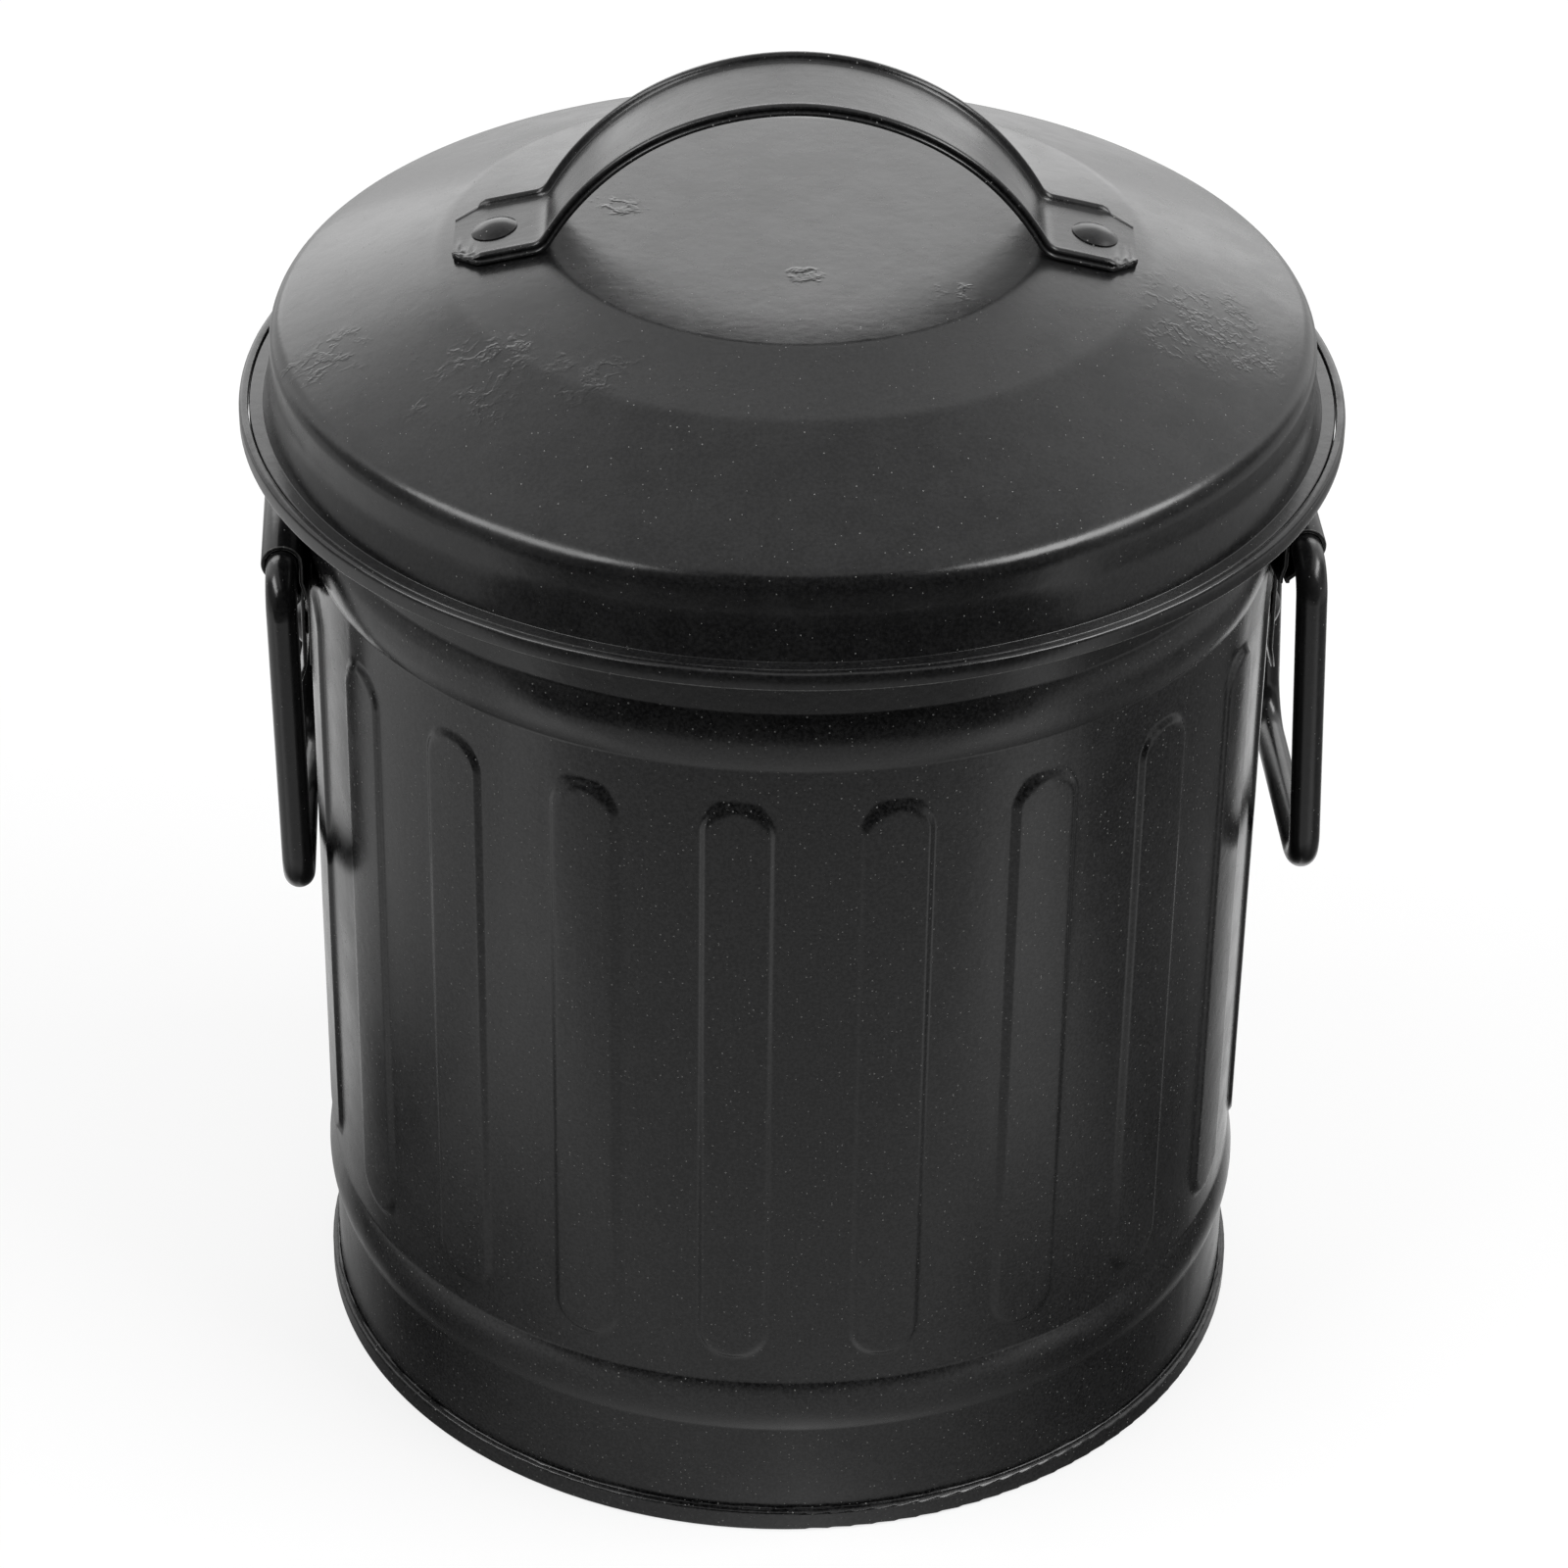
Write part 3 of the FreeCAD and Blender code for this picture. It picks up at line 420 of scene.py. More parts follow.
def copied(piece: Piece, name: str) -> Piece:
    """Copy a piece and its mesh.

    Args:
        piece: the piece.
        name: the copy's name.

    Returns:
        The copy.
    """
    twin = bpy.data.objects.new(name, piece.data.copy())
    twin.data.name = name
    bpy.context.scene.collection.objects.link(twin)
    return twin


def thicken(piece: Piece, sheet: float) -> None:
    """Give a surface the thickness of its sheet, inwards.

    Args:
        piece: the surface.
        sheet: its thickness.
    """
    choose(piece)
    solid = piece.modifiers.new("sheet", "SOLIDIFY")
    solid.thickness = sheet * MM
    solid.offset = -1.0
    solid.use_rim = True
    bpy.ops.object.modifier_apply(modifier=solid.name)


def soften(piece: Piece, width: float, from_deg: float = 35.0, edge_slot: int = 0) -> None:
    """Round the sharp edges as paint does, and smooth the rest.

    Args:
        piece: the piece.
        width: width of the round, or zero for none.
        from_deg: angle from which an edge counts as sharp.
        edge_slot: which of the piece's materials the rounds get.
    """
    choose(piece)
    if width:
        bevel = piece.modifiers.new("paint_round", "BEVEL")
        bevel.limit_method = "ANGLE"
        bevel.angle_limit = math.radians(from_deg)
        bevel.width = width * MM
        bevel.segments = 2
        bevel.material = edge_slot
        bpy.ops.object.modifier_apply(modifier=bevel.name)
    bpy.ops.object.shade_smooth_by_angle(angle=math.radians(from_deg + 5))


def rounded(corners: tuple[Triple, ...], arc_steps: int, run: float, lift: float) -> list[Point]:
    """Outline of a pressed sheet: straight runs in short pieces, joined by tangent arcs.

    Args:
        corners: radius, height and rounding of each corner. The two ends have no rounding.
        arc_steps: pieces of an arc.
        run: longest piece of a straight run.
        lift: height of the corners' zero.

    Returns:
        Points along the outline.
    """
    points = [Vector(corner[:2]) for corner in corners]
    arcs: list[list[Vector]] = [[points[0]]]
    for before, here, after, (_, _, radius) in zip(points, points[1:], points[2:], corners[1:]):
        inward = (before - here).normalized()
        onward = (after - here).normalized()
        half = inward.angle(onward) / 2
        reach = radius / math.tan(half)
        middle = here + (inward + onward).normalized() * radius / math.sin(half)
        first = here + inward * reach - middle
        last = here + onward * reach - middle
        swing = first.angle_signed(last)
        arcs.append([middle + Matrix.Rotation(turn, 2) @ first for turn in spread(0.0, -swing, arc_steps)])
    arcs.append([points[-1]])
    outline: list[Vector] = []
    for arc in arcs:
        if outline:
            gap = arc[0] - outline[-1]
            pieces = max(1, math.ceil(gap.length / run))
            outline += [outline[-1] + gap * (step / pieces) for step in range(1, pieces)]
        outline += arc
    return [(point.x, point.y + lift) for point in outline]


def at_angle(outline: list[Point], angle: float = 0.0) -> list[Vector]:
    """Outline of radius and height, stood up at an angle about the upright axis, in metres."""
    return [Vector((across * math.cos(angle), across * math.sin(angle), up)) * MM for across, up in outline]


def spun(name: str, outline: list[Point], steps: int, outside: Vector | None = None) -> Piece:
    """Spin an outline about the upright axis.

    Args:
        name: the new piece's name.
        outline: radius and height of each point.
        steps: pieces of the turn.
        outside: point outside the sheet, or none for a closed shape.

    Returns:
        The new piece.
    """
    piece = draw(name, at_angle(outline))
    spin(FULL_TURN, steps)
    close(piece, outside)
    return piece


def wobble(place: Vector, wave: Wave) -> float:
    """Slow unevenness of hand-finished sheet in metres, from its grain and depth in millimetres."""
    grain, depth = wave
    return noise.noise(place / (grain * MM)) * depth * MM


def spread(start: float, run: float, steps: int) -> list[float]:
    """Evenly spaced values over a run, with both its ends."""
    return [start + run * step / steps for step in range(steps + 1)]


def eased(share: float) -> float:
    """Smooth rise from zero to one, held at its ends."""
    held = min(max(share, 0.0), 1.0)
    return held * held * (3 - 2 * held)


@dataclass
class CanWall:
    """Sheet wall with soft flutes, two beads and a rolled rim, and the folded seam up its back."""

    radius: float = 57.45
    sheet: float = 0.45
    bottom: float = 2.0
    foot_rows: tuple[float, ...] = (6.0, 11.0)
    beads: Span = (15.2, 109.9)
    bead_width: float = 7.4
    bead_bulge: float = 0.75
    bead_steps: int = 10
    crease: float = 0.22
    neck_rows: tuple[float, ...] = (122.0, 128.0, 132.0)
    rim_level: float = 135.4
    rim_middle: float = 58.5
    rim_bore: float = 1.05
    rim_curl: float = 1.5 * math.pi
    rim_steps: int = 12
    flutes: int = 20
    flute_foot: Span = (30.425, 101.175)
    flute_half: float = 4.45
    flute_flat: float = 3.45
    flute_bulge: float = 0.5
    flute_margin: float = 0.3
    flute_rows: int = 16
    straight_rows: int = 8
    columns: tuple[float, ...] = (0, 1.2, 2.3, 3.0, 3.35, 3.55, 3.75, 3.95, 4.15, 4.35, 4.55, 5.5, 7.3, 9.0246)
    slow_wave: Wave = (24, 0.05)
    quick_wave: Wave = (9, 0.018)
    quick_shift: float = 0.3
    smooth_deg: float = 50.0
    seam_arc_deg: float = 4.2
    seam_top: float = 133.2
    seam_bottom: float = 2.9
    seam_sheets: float = 1.1
    seam_round: float = 0.16
    seam_steps: int = 6
    seam_wave: Wave = (12, 0.06)

    def levels(self) -> list[float]:
        """Heights at which the wall has a row of points.

        Returns:
            Millimetres above the floor, upwards.
        """
        low, high = self.flute_foot
        reach = self.flute_half + self.flute_margin
        rows = [self.bottom, *self.foot_rows, *self.neck_rows, self.rim_level]
        for bead in self.beads:
            rows += spread(bead, self.bead_width, self.bead_steps)
            for edge in (bead, bead + self.bead_width):
                rows += [edge - self.crease, edge + self.crease]
        rows += spread(low - reach, reach, self.flute_rows) + spread(high, reach, self.flute_rows)
        rows += spread(low, high - low, self.straight_rows)[1:-1]
        return sorted(rows)

    def bead(self, level: float) -> float:
        """How far the beads stand out.

        Args:
            level: millimetres above the floor.

        Returns:
            Millimetres outwards.
        """
        half = self.bead_width / 2
        arc = (half ** 2 + self.bead_bulge ** 2) / (2 * self.bead_bulge)
        off = min(abs(level - foot - half) for foot in self.beads)
        return math.sqrt(arc ** 2 - off ** 2) - arc + self.bead_bulge if off < half else 0.0

    def flute(self, place: Vector) -> float:
        """How far a flute stands out.

        Args:
            place: point on the wall, in metres.

        Returns:
            Millimetres outwards.
        """
        pitch = FULL_TURN / self.flutes
        turn = math.atan2(place.y, place.x) % pitch - pitch / 2
        level = place.z / MM
        low, high = self.flute_foot
        away = math.hypot(turn * self.radius, max(low - level, level - high, 0.0))
        return self.flute_bulge * eased((self.flute_half - away) / (self.flute_half - self.flute_flat))

    def outline(self) -> list[Point]:
        """Outer face of the sheet from the foot to the inside of the rolled rim.

        Returns:
            Radius and height of each point.
        """
        points = [(self.radius + self.bead(level), level) for level in self.levels()]
        for angle in spread(math.pi, -self.rim_curl, self.rim_steps)[1:]:
            across = self.rim_middle + self.rim_bore * math.cos(angle)
            points.append((across, self.rim_level + self.rim_bore * math.sin(angle)))
        return points

    def pressed(self, place: Vector) -> Vector:
        """Move a vertex out by its flute and by the unevenness of the sheet.

        Args:
            place: the vertex.

        Returns:
            Its new place.
        """
        out = Vector((place.x, place.y, 0)).normalized()
        push = wobble(place, self.slow_wave) + wobble(place + out * self.quick_shift, self.quick_wave)
        if place.z < self.beads[1] * MM:
            push += self.flute(place) * MM
        return place + out * push

    def build(self) -> Piece:
        """Model one flute's width of wall, repeat it round the can and give it its sheet.

        Returns:
            The new piece.
        """
        piece = draw("wall_sheet", at_angle(self.outline()))
        edges = [-across for across in reversed(self.columns)] + list(self.columns[1:])
        for start, stop in zip(edges, edges[1:]):
            spin((stop - start) / self.radius, 1)
        bpy.ops.mesh.select_all(action="SELECT")
        spin(FULL_TURN, self.flutes, copies=True)
        close(piece, FAR_BACK)
        reshape(piece, self.pressed)
        thicken(piece, self.sheet)
        soften(piece, 0.0, self.smooth_deg)
        return piece

    def seam(self) -> Piece:
        """Model the folded seam up the back, one sheet proud of the wall.

        Returns:
            The new piece.
        """
        half = math.radians(self.seam_arc_deg) / 2
        rows = [level for level in self.levels() if self.seam_bottom < level < self.seam_top]
        rows = [self.seam_bottom, *rows, self.seam_top]
        outline = [(self.radius + self.sheet + self.bead(level), level) for level in rows]
        piece = draw("back_seam", at_angle(outline, math.pi / 2 - half))
        spin(2 * half, self.seam_steps)
        close(piece, FAR_BACK)
        across = Matrix.Rotation(math.pi / 2, 3, "Z")
        reshape(piece, lambda place: place + (across @ place).normalized() * wobble(place, self.seam_wave))
        thicken(piece, self.sheet * self.seam_sheets)
        soften(piece, self.seam_round)
        return piece

    def dress(self, paint: Paint) -> None:
        """Build the wall and its seam and paint them.

        Args:
            paint: the can's finish.
        """
        wall, seam = self.build(), self.seam()
        for piece in (wall, seam):
            hang(piece, Body.CAN, paint)
        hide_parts("can_wall")


@dataclass
class BaseRing:
    """Uneven line of paint that has run together on top of the folded seam round the base.

    The swells give the grain of the line's unevenness and its share of the thickness.
    """

    line_radius: float = 57.62
    line_height: float = 2.82
    line_thickness: float = 0.24
    around: int = 420
    section: int = 6
    swells: tuple[Wave, ...] = ((3.1, 0.9), (1.1, 0.6))
    thinnest: float = 0.2
    smooth_deg: float = 60.0

    def pooled(self, place: Vector) -> Vector:
        """Draw in or swell the line by how much paint lies at a vertex.

        Args:
            place: the vertex.

        Returns:
            Its new place.
        """
        out = Vector((place.x, place.y, 0)).normalized()
        middle = (out * self.line_radius + Vector((0, 0, self.line_height))) * MM
        swell = 1 + sum(noise.noise(place / (grain * MM)) * share for grain, share in self.swells)
        return middle + (place - middle) * max(swell, self.thinnest)

    def build(self) -> Piece:
        """Model the line of pooled paint between wall and seam.

        Returns:
            The new piece.
        """
        bpy.ops.object.select_all(action="DESELECT")
        bpy.ops.mesh.primitive_torus_add(
            major_segments=self.around, minor_segments=self.section,
            major_radius=self.line_radius * MM, minor_radius=self.line_thickness * MM,
        )
        piece = bpy.context.object
        piece.name = "pooled_paint"
        bpy.ops.object.mode_set(mode="EDIT")
        bpy.ops.mesh.select_all(action="SELECT")
        bpy.ops.transform.translate(value=(0, 0, self.line_height * MM))
        bpy.ops.object.mode_set(mode="OBJECT")
        reshape(piece, self.pooled)
        soften(piece, 0.0, self.smooth_deg)
        return piece

    def dress(self, paint: Paint) -> None:
        """Lay the line in the can's finish."""
        hang(self.build(), Body.CAN, paint)


@dataclass
class Lid:
    """Domed lid pressed from one sheet, with creases, a skirt, a flange and a lip folded back on itself.

    Corners are radius, height above the lip's lowest edge, and rounding.
    """

    bottom: float = 125.18
    sheet: float = 0.45
    steps: int = 216
    corners: tuple[Triple, ...] = (
        (63.9, 0.4, 0), (63.9, 2.0, 0.25), (62.3, 2.0, 0.12), (61.25, 6.4, 9.0), (61.25, 11.55, 3.0),
        (41.4, 20.0, 8.0), (29.0, 22.8, 5.0), (0.0, 22.8, 0),
    )
    arc_steps: int = 8
    run: float = 2.4
    dent: Wave = (31, 0.09)
    small_dent: Wave = (12, 0.035)
    small_dent_shift: Triple = (0, 0, 0.4)
    hem: tuple[Triple, ...] = (
        (64.5, 0.0, 0), (65.1, 0.0, 0.24), (65.1, 2.16, 0.5), (64.02, 2.16, 0.15), (64.02, 0.0, 0.24),
        (64.5, 0.0, 0),
    )
    hem_arc_steps: int = 4
    hem_run: float = 1.0
    hem_fold: float = 1.2
    hem_wave: Wave = (3.5, 0.09)
    edge_width: float = 0.2
    smooth_deg: float = 50.0

    def uneven(self, place: Vector) -> Vector:
        """Vertex of the lid, dented as the press and use do, and never raised."""
        dent = wobble(place, self.dent) + wobble(place + Vector(self.small_dent_shift), self.small_dent)
        return place + Vector((0, 0, min(dent, 0.0)))

    def build(self) -> Piece:
        """Spin the lid and give it its sheet.

        Returns:
            The new piece.
        """
        outline = rounded(self.corners, self.arc_steps, self.run, self.bottom)
        piece = spun("lid_pressing", outline, self.steps, FAR_ABOVE)
        reshape(piece, self.uneven)
        thicken(piece, self.sheet)
        soften(piece, 0.0, self.smooth_deg)
        return piece

    def hand_folded(self, place: Vector) -> Vector:
        """Vertex of the hem, whose upper edge isn't quite even."""
        high = max(place.z / MM - self.bottom - self.hem_fold, 0.0)
        return place + Vector((0, 0, high * wobble(place, self.hem_wave)))

    def worn_and_highlit(self, place: Vector) -> bool:
        """Whether a place on the hem gets the lighter edge paint: thin, worn paint and a painted highlight on its
        cut edge and its lowest edge.

        Args:
            place: point on the hem, in metres.

        Returns:
            True where it gets the lighter edge paint.
        """
        across = math.hypot(place.x, place.y) / MM
        up = place.z / MM - self.bottom
        inner, outer, top = self.hem[3][0], self.hem[1][0], self.hem[2][1]
        cut = across < inner + self.edge_width and up > top - self.edge_width
        return cut or (across > outer - self.edge_width and up < self.edge_width)

    def build_hem(self, paint: Paint, edge: Paint) -> Piece:
        """Spin the folded edge that stands round the flange, with a crack between them.

        Args:
            paint: the lid's finish.
            edge: the lighter finish of its edges: thin paint and a painted highlight.

        Returns:
            The new piece.
        """
        outline = rounded(self.hem, self.hem_arc_steps, self.hem_run, self.bottom)
        piece = spun("lid_hem", outline, self.steps)
        reshape(piece, self.hand_folded)
        soften(piece, 0.0, self.smooth_deg)
        piece.data.materials.append(paint)
        piece.data.materials.append(edge)
        # The cut edge and the lowest edge get lighter paint: thin paint and a painted highlight.
        for face in piece.data.polygons:
            face.material_index = int(self.worn_and_highlit(face.center))
        return piece

    def dress(self, paint: Paint, edge: Paint) -> None:
        """Build the lid and paint it.

        Args:
            paint: the lid's finish.
            edge: the lighter finish of edges: thin paint and a painted highlight.
        """
        pressing, hem = self.build(), self.build_hem(paint, edge)
        hang(pressing, Body.LID, paint)
        hang(hem, Body.LID)
        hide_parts("lid_shell")


@dataclass
class Strap:
    """Arched lid handle: a strip with rolled edges, and a tab riveted down at each end.

    Heights are above the lid's lip. The section gives half the strip, across and above its highest line.
    """

    lid_bottom: float = 125.18
    lid_turn_deg: float = -2.9
    top: float = 41.7
    arch: float = 33.3
    bend: float = 2.0
    tab: float = 9.66
    clip: float = 3.0
    half_width: float = 7.7
    face: float = -0.75
    underside: float = -1.3
    crease: Point = (29.0, 22.8)
    ring: Point = (12.4, -2.8)
    section: tuple[Point, ...] = (
        (0, -0.75), (2.6, -0.76), (4.7, -0.76), (5.6, -0.74), (5.95, -0.67), (6.13, -0.52), (6.24, -0.32),
        (6.38, -0.13), (6.58, -0.02), (6.8, 0.0), (7.05, -0.04), (7.25, -0.15), (7.36, -0.32), (7.34, -0.48),
        (7.22, -0.58), (7.16, -0.66), (7.3, -0.73), (7.52, -0.78), (7.66, -0.88), (7.7, -1.02), (7.64, -1.17),
        (7.48, -1.27), (7.2, -1.3), (4.6, -1.3), (0, -1.3),
    )
    arch_steps: int = 36
    bend_steps: int = 8
    tab_steps: int = 10
    clip_steps: int = 14
    smooth_deg: float = 45.0
    hem_fade: Span = (0.6, 1.1)
    hem_left: float = 0.12
    burr: float = 0.3
    burr_reach: float = 0.4
    burr_edge: float = -3.2
    burr_skin: float = 0.1
    burr_share: float = 0.25
    burr_pitch: float = 1.7
    burr_seed: float = 9
    fray: float = 0.8
    fray_pitch: Point = (2.3, 3)
    fray_seed: float = 4
    sway: float = 0.16
    sway_grain: float = 14
    sway_seed: Point = (2.0, 7.0)

    def __post_init__(self) -> None:
        """Work out where the arch ends, where the tab begins and how long each run is."""
        self.slope = math.atan2(-self.ring[1], self.ring[0])
        self.onward = Vector((math.cos(self.slope), -math.sin(self.slope)))
        square = Vector((math.sin(self.slope), math.cos(self.slope)))
        start = Vector(self.crease) - Vector((0, self.underside / math.cos(self.slope))) + square * self.bend
        offset = start - Vector((0, self.top - self.arch))
        ahead = offset.dot(self.onward)
        run = math.sqrt(ahead ** 2 - offset.length_squared + (self.arch + self.bend) ** 2) - ahead
        self.bend_middle = start + self.onward * run
        self.foot = self.bend_middle - square * self.bend
        arm = self.bend_middle - Vector((0, self.top - self.arch))
        self.arch_end = math.atan2(arm.x, arm.y)
        self.arch_run = self.arch * self.arch_end
        self.bend_run = self.bend * (self.arch_end - self.slope)
        self.reach = self.arch_run + self.bend_run + self.tab

    def on_path(self, along: float) -> tuple[Vector, float]:
        """Point of the strap's top line.

        Args:
            along: millimetres from the middle of the arch.

        Returns:
            The point beside and above the middle of the lid's lip, and the downward slope there.
        """
        if along <= self.arch_run:
            lean = along / self.arch
            return Vector((self.arch * math.sin(lean), self.top - self.arch + self.arch * math.cos(lean))), lean
        if along <= self.arch_run + self.bend_run:
            lean = self.arch_end - (along - self.arch_run) / self.bend
            return self.bend_middle - self.bend * Vector((math.sin(lean), math.cos(lean))), lean
        return self.foot + self.onward * (along - self.arch_run - self.bend_run), self.slope

    def on_lid(self, place: Vector) -> Vector:
        """Point of the lid's own frame put where the lid lies, from millimetres to metres."""
        turned = Matrix.Rotation(math.radians(self.lid_turn_deg), 3, "Z") @ place
        return (turned + Vector((0, 0, self.lid_bottom))) * MM

    def stations(self) -> list[float]:
        """Places along half the strap that get a section.

        Returns:
            Millimetres from the middle of the arch.
        """
        places = spread(0.0, self.arch_run, self.arch_steps)
        places += spread(self.arch_run, self.bend_run, self.bend_steps)[1:]
        places += spread(self.reach - self.tab, self.tab - self.clip, self.tab_steps)[1:-1]
        return places + spread(self.reach - self.clip, self.clip, self.clip_steps)

    def bent(self, place: Vector) -> Vector:
        """Lay a vertex of the straight strip along the arch and the tabs, with cut, burred corners.

        Args:
            place: the vertex.

        Returns:
            Its new place.
        """
        side = math.copysign(1.0, place.x)
        along, across, up = abs(place.x) / MM, place.y / MM, place.z / MM
        left = self.reach - along
        if up > self.face:
            start, length = self.hem_fade
            hem = eased((left - self.clip + start) / length)
            up = self.face + (up - self.face) * (hem * (1 - self.hem_left) + self.hem_left)
        across *= 1 - max(self.clip - left, 0.0) / self.half_width
        on_corner = left < self.clip + self.burr_reach and across < self.burr_edge
        if on_corner and up > self.underside + self.burr_skin:
            spot = Vector((along * self.burr_pitch, across * self.burr_pitch, side * self.burr_seed))
            up += self.burr * max(noise.noise(spot) + self.burr_share, 0.0)
            spot = Vector((along * self.fray_pitch[0], up * self.fray_pitch[1], side * self.fray_seed))
            across -= self.burr * self.fray * noise.noise(spot)
        point, lean = self.on_path(along)
        point = point + up * Vector((math.sin(lean), math.cos(lean)))
        sway = noise.noise(Vector((along * side / self.sway_grain, *self.sway_seed))) * self.sway
        return self.on_lid(Vector((side * point.x, across + sway, point.y)))

    def build(self) -> Piece:
        """Draw the section, pull it out to a straight strip and lay that along the arch.

        Returns:
            The new piece.
        """
        half = list(self.section)
        loop = half + [(-across, up) for across, up in reversed(half[1:-1])] + [half[0]]
        places = self.stations()
        places = [-along for along in reversed(places[1:])] + places
        piece = draw("lid_strap", [Vector((places[0], across, up)) * MM for across, up in loop])
        for start, stop in zip(places, places[1:]):
            bpy.ops.mesh.extrude_region_move(TRANSFORM_OT_translate={"value": ((stop - start) * MM, 0, 0)})
        bpy.ops.mesh.select_all(action="SELECT")
        bpy.ops.mesh.remove_doubles(threshold=MERGE)
        bpy.ops.mesh.fill_holes(sides=0)
        close(piece)
        reshape(piece, self.bent)
        soften(piece, 0.0, self.smooth_deg)
        return piece

    def set_rivet(self, rivet: Piece, side: float) -> None:
        """Set a rivet through the middle of a tab.

        Args:
            rivet: a rivet as it was turned, at the origin.
            side: -1 for the left tab, 1 for the right one.
        """
        middle, lean = self.on_path(self.reach - self.tab / 2)
        tilt = Matrix.Rotation(side * lean, 3, "Y")
        base = Vector((side * middle.x, 0, middle.y)) + tilt @ Vector((0, 0, self.face))
        reshape(rivet, lambda place: self.on_lid(tilt @ (place / MM) + base))

    def dress(self, paint: Paint) -> None:
        """Build the strap and its rivets and paint them.

        Args:
            paint: the strap's finish.
        """
        strap = self.build()
        hang(strap, Body.LID, paint)
        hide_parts("lid_handle")
        left = Rivet().build("left_lid_rivet_painted")
        right = copied(left, "right_lid_rivet_painted")
        for rivet, node, side in ((left, "left_lid_rivet", -1.0), (right, "right_lid_rivet", 1.0)):
            self.set_rivet(rivet, side)
            hang(rivet, Body.LID, paint)
            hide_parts(node)


@dataclass
class Rivet:
    """Rivet with a low domed head, upset a little unevenly, and a hammered tail."""

    head_radius: float = 2.75
    head_height: float = 0.95
    head_edge: float = 0.12
    dome_steps: int = 9
    steps: int = 40
    shank: tuple[Point, ...] = ((1.5, 0.0), (1.5, -1.15), (2.2, -1.15), (2.2, -1.6), (1.65, -2.05), (0.0, -2.05))
    upset: Wave = (2.4, 0.03)
    smooth_deg: float = 40.0

    def build(self, name: str) -> Piece:
        """Spin the rivet's outline about its own axis, with the foot of the head at the origin.

        Args:
            name: the new piece's name.

        Returns:
            The new piece.
        """
        rise = self.head_height - self.head_edge
        ball = (self.head_radius ** 2 + rise ** 2) / (2 * rise)
        full = math.asin(self.head_radius / ball)
        outline = [
            (ball * math.sin(lean), ball * math.cos(lean) - ball + self.head_height)
            for lean in spread(0.0, full, self.dome_steps)
        ]
        outline += [(self.head_radius, 0.0), *self.shank]
        piece = spun(name, outline, self.steps)
        grain, share = self.upset
        reshape(piece, lambda place: place * (1 + noise.noise(place / (grain * MM)) * share))
        soften(piece, 0.0, self.smooth_deg)
        return piece


@dataclass
class Brackets:
    """Brackets of the bails, whose sharp edges get the round that paint gives them."""

    nodes: tuple[str, ...] = ("left_bracket", "right_bracket")
    edge_round: float = 0.13
    flat_deg: float = 0.6

    def build(self, node: Piece, edge: Paint) -> Piece:
        """Copy a bracket and round its edges.

        Args:
            node: the bracket in the frame.
            edge: the lighter finish of the rounds: thin paint and a painted highlight.

        Returns:
            The new piece, which keeps the paint of its node.
        """
        piece = copied(node, f"{node.name}_painted")
        # The rounds get lighter paint: thin paint and a painted highlight along the edges.
        piece.data.materials.append(edge)
        choose(piece)
        bpy.ops.object.mode_set(mode="EDIT")
        bpy.ops.mesh.select_all(action="SELECT")
        bpy.ops.mesh.customdata_custom_splitnormals_clear()
        bpy.ops.mesh.remove_doubles(threshold=MERGE)
        bpy.ops.mesh.dissolve_limited(angle_limit=math.radians(self.flat_deg))
        bpy.ops.object.mode_set(mode="OBJECT")
        soften(piece, self.edge_round, edge_slot=1)
        return piece

    def dress(self, nodes: dict[str, Piece], edge: Paint) -> None:
        """Put a softened bracket in place of each node.

        Args:
            nodes: the painted nodes of the frame by name.
            edge: the lighter finish of cut edges, where the paint is thin and a highlight is painted.
        """
        for name in self.nodes:
            piece = self.build(nodes[name], edge)
            hang(piece, Body.CAN)
            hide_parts(name)


@dataclass(frozen=True)
class SoftBox:
    """One soft lamp."""

    name: str
    place: Triple
    size: Point
    radiance: float

    def build(self, aim: Vector) -> None:
        """Hang the lamp.

        Args:
            aim: point that it faces, in metres.
        """
        lamp = bpy.data.lights.new(self.name, "AREA")
        lamp.shape = "RECTANGLE"
        lamp.size, lamp.size_y = self.size
        lamp.energy = self.radiance * self.size[0] * self.size[1] * math.pi
        box = bpy.data.objects.new(self.name, lamp)
        bpy.context.scene.collection.objects.link(box)
        box.location = self.place
        box.rotation_mode = "QUATERNION"
        box.rotation_quaternion = (aim - Vector(self.place)).to_track_quat("-Z", "Y")


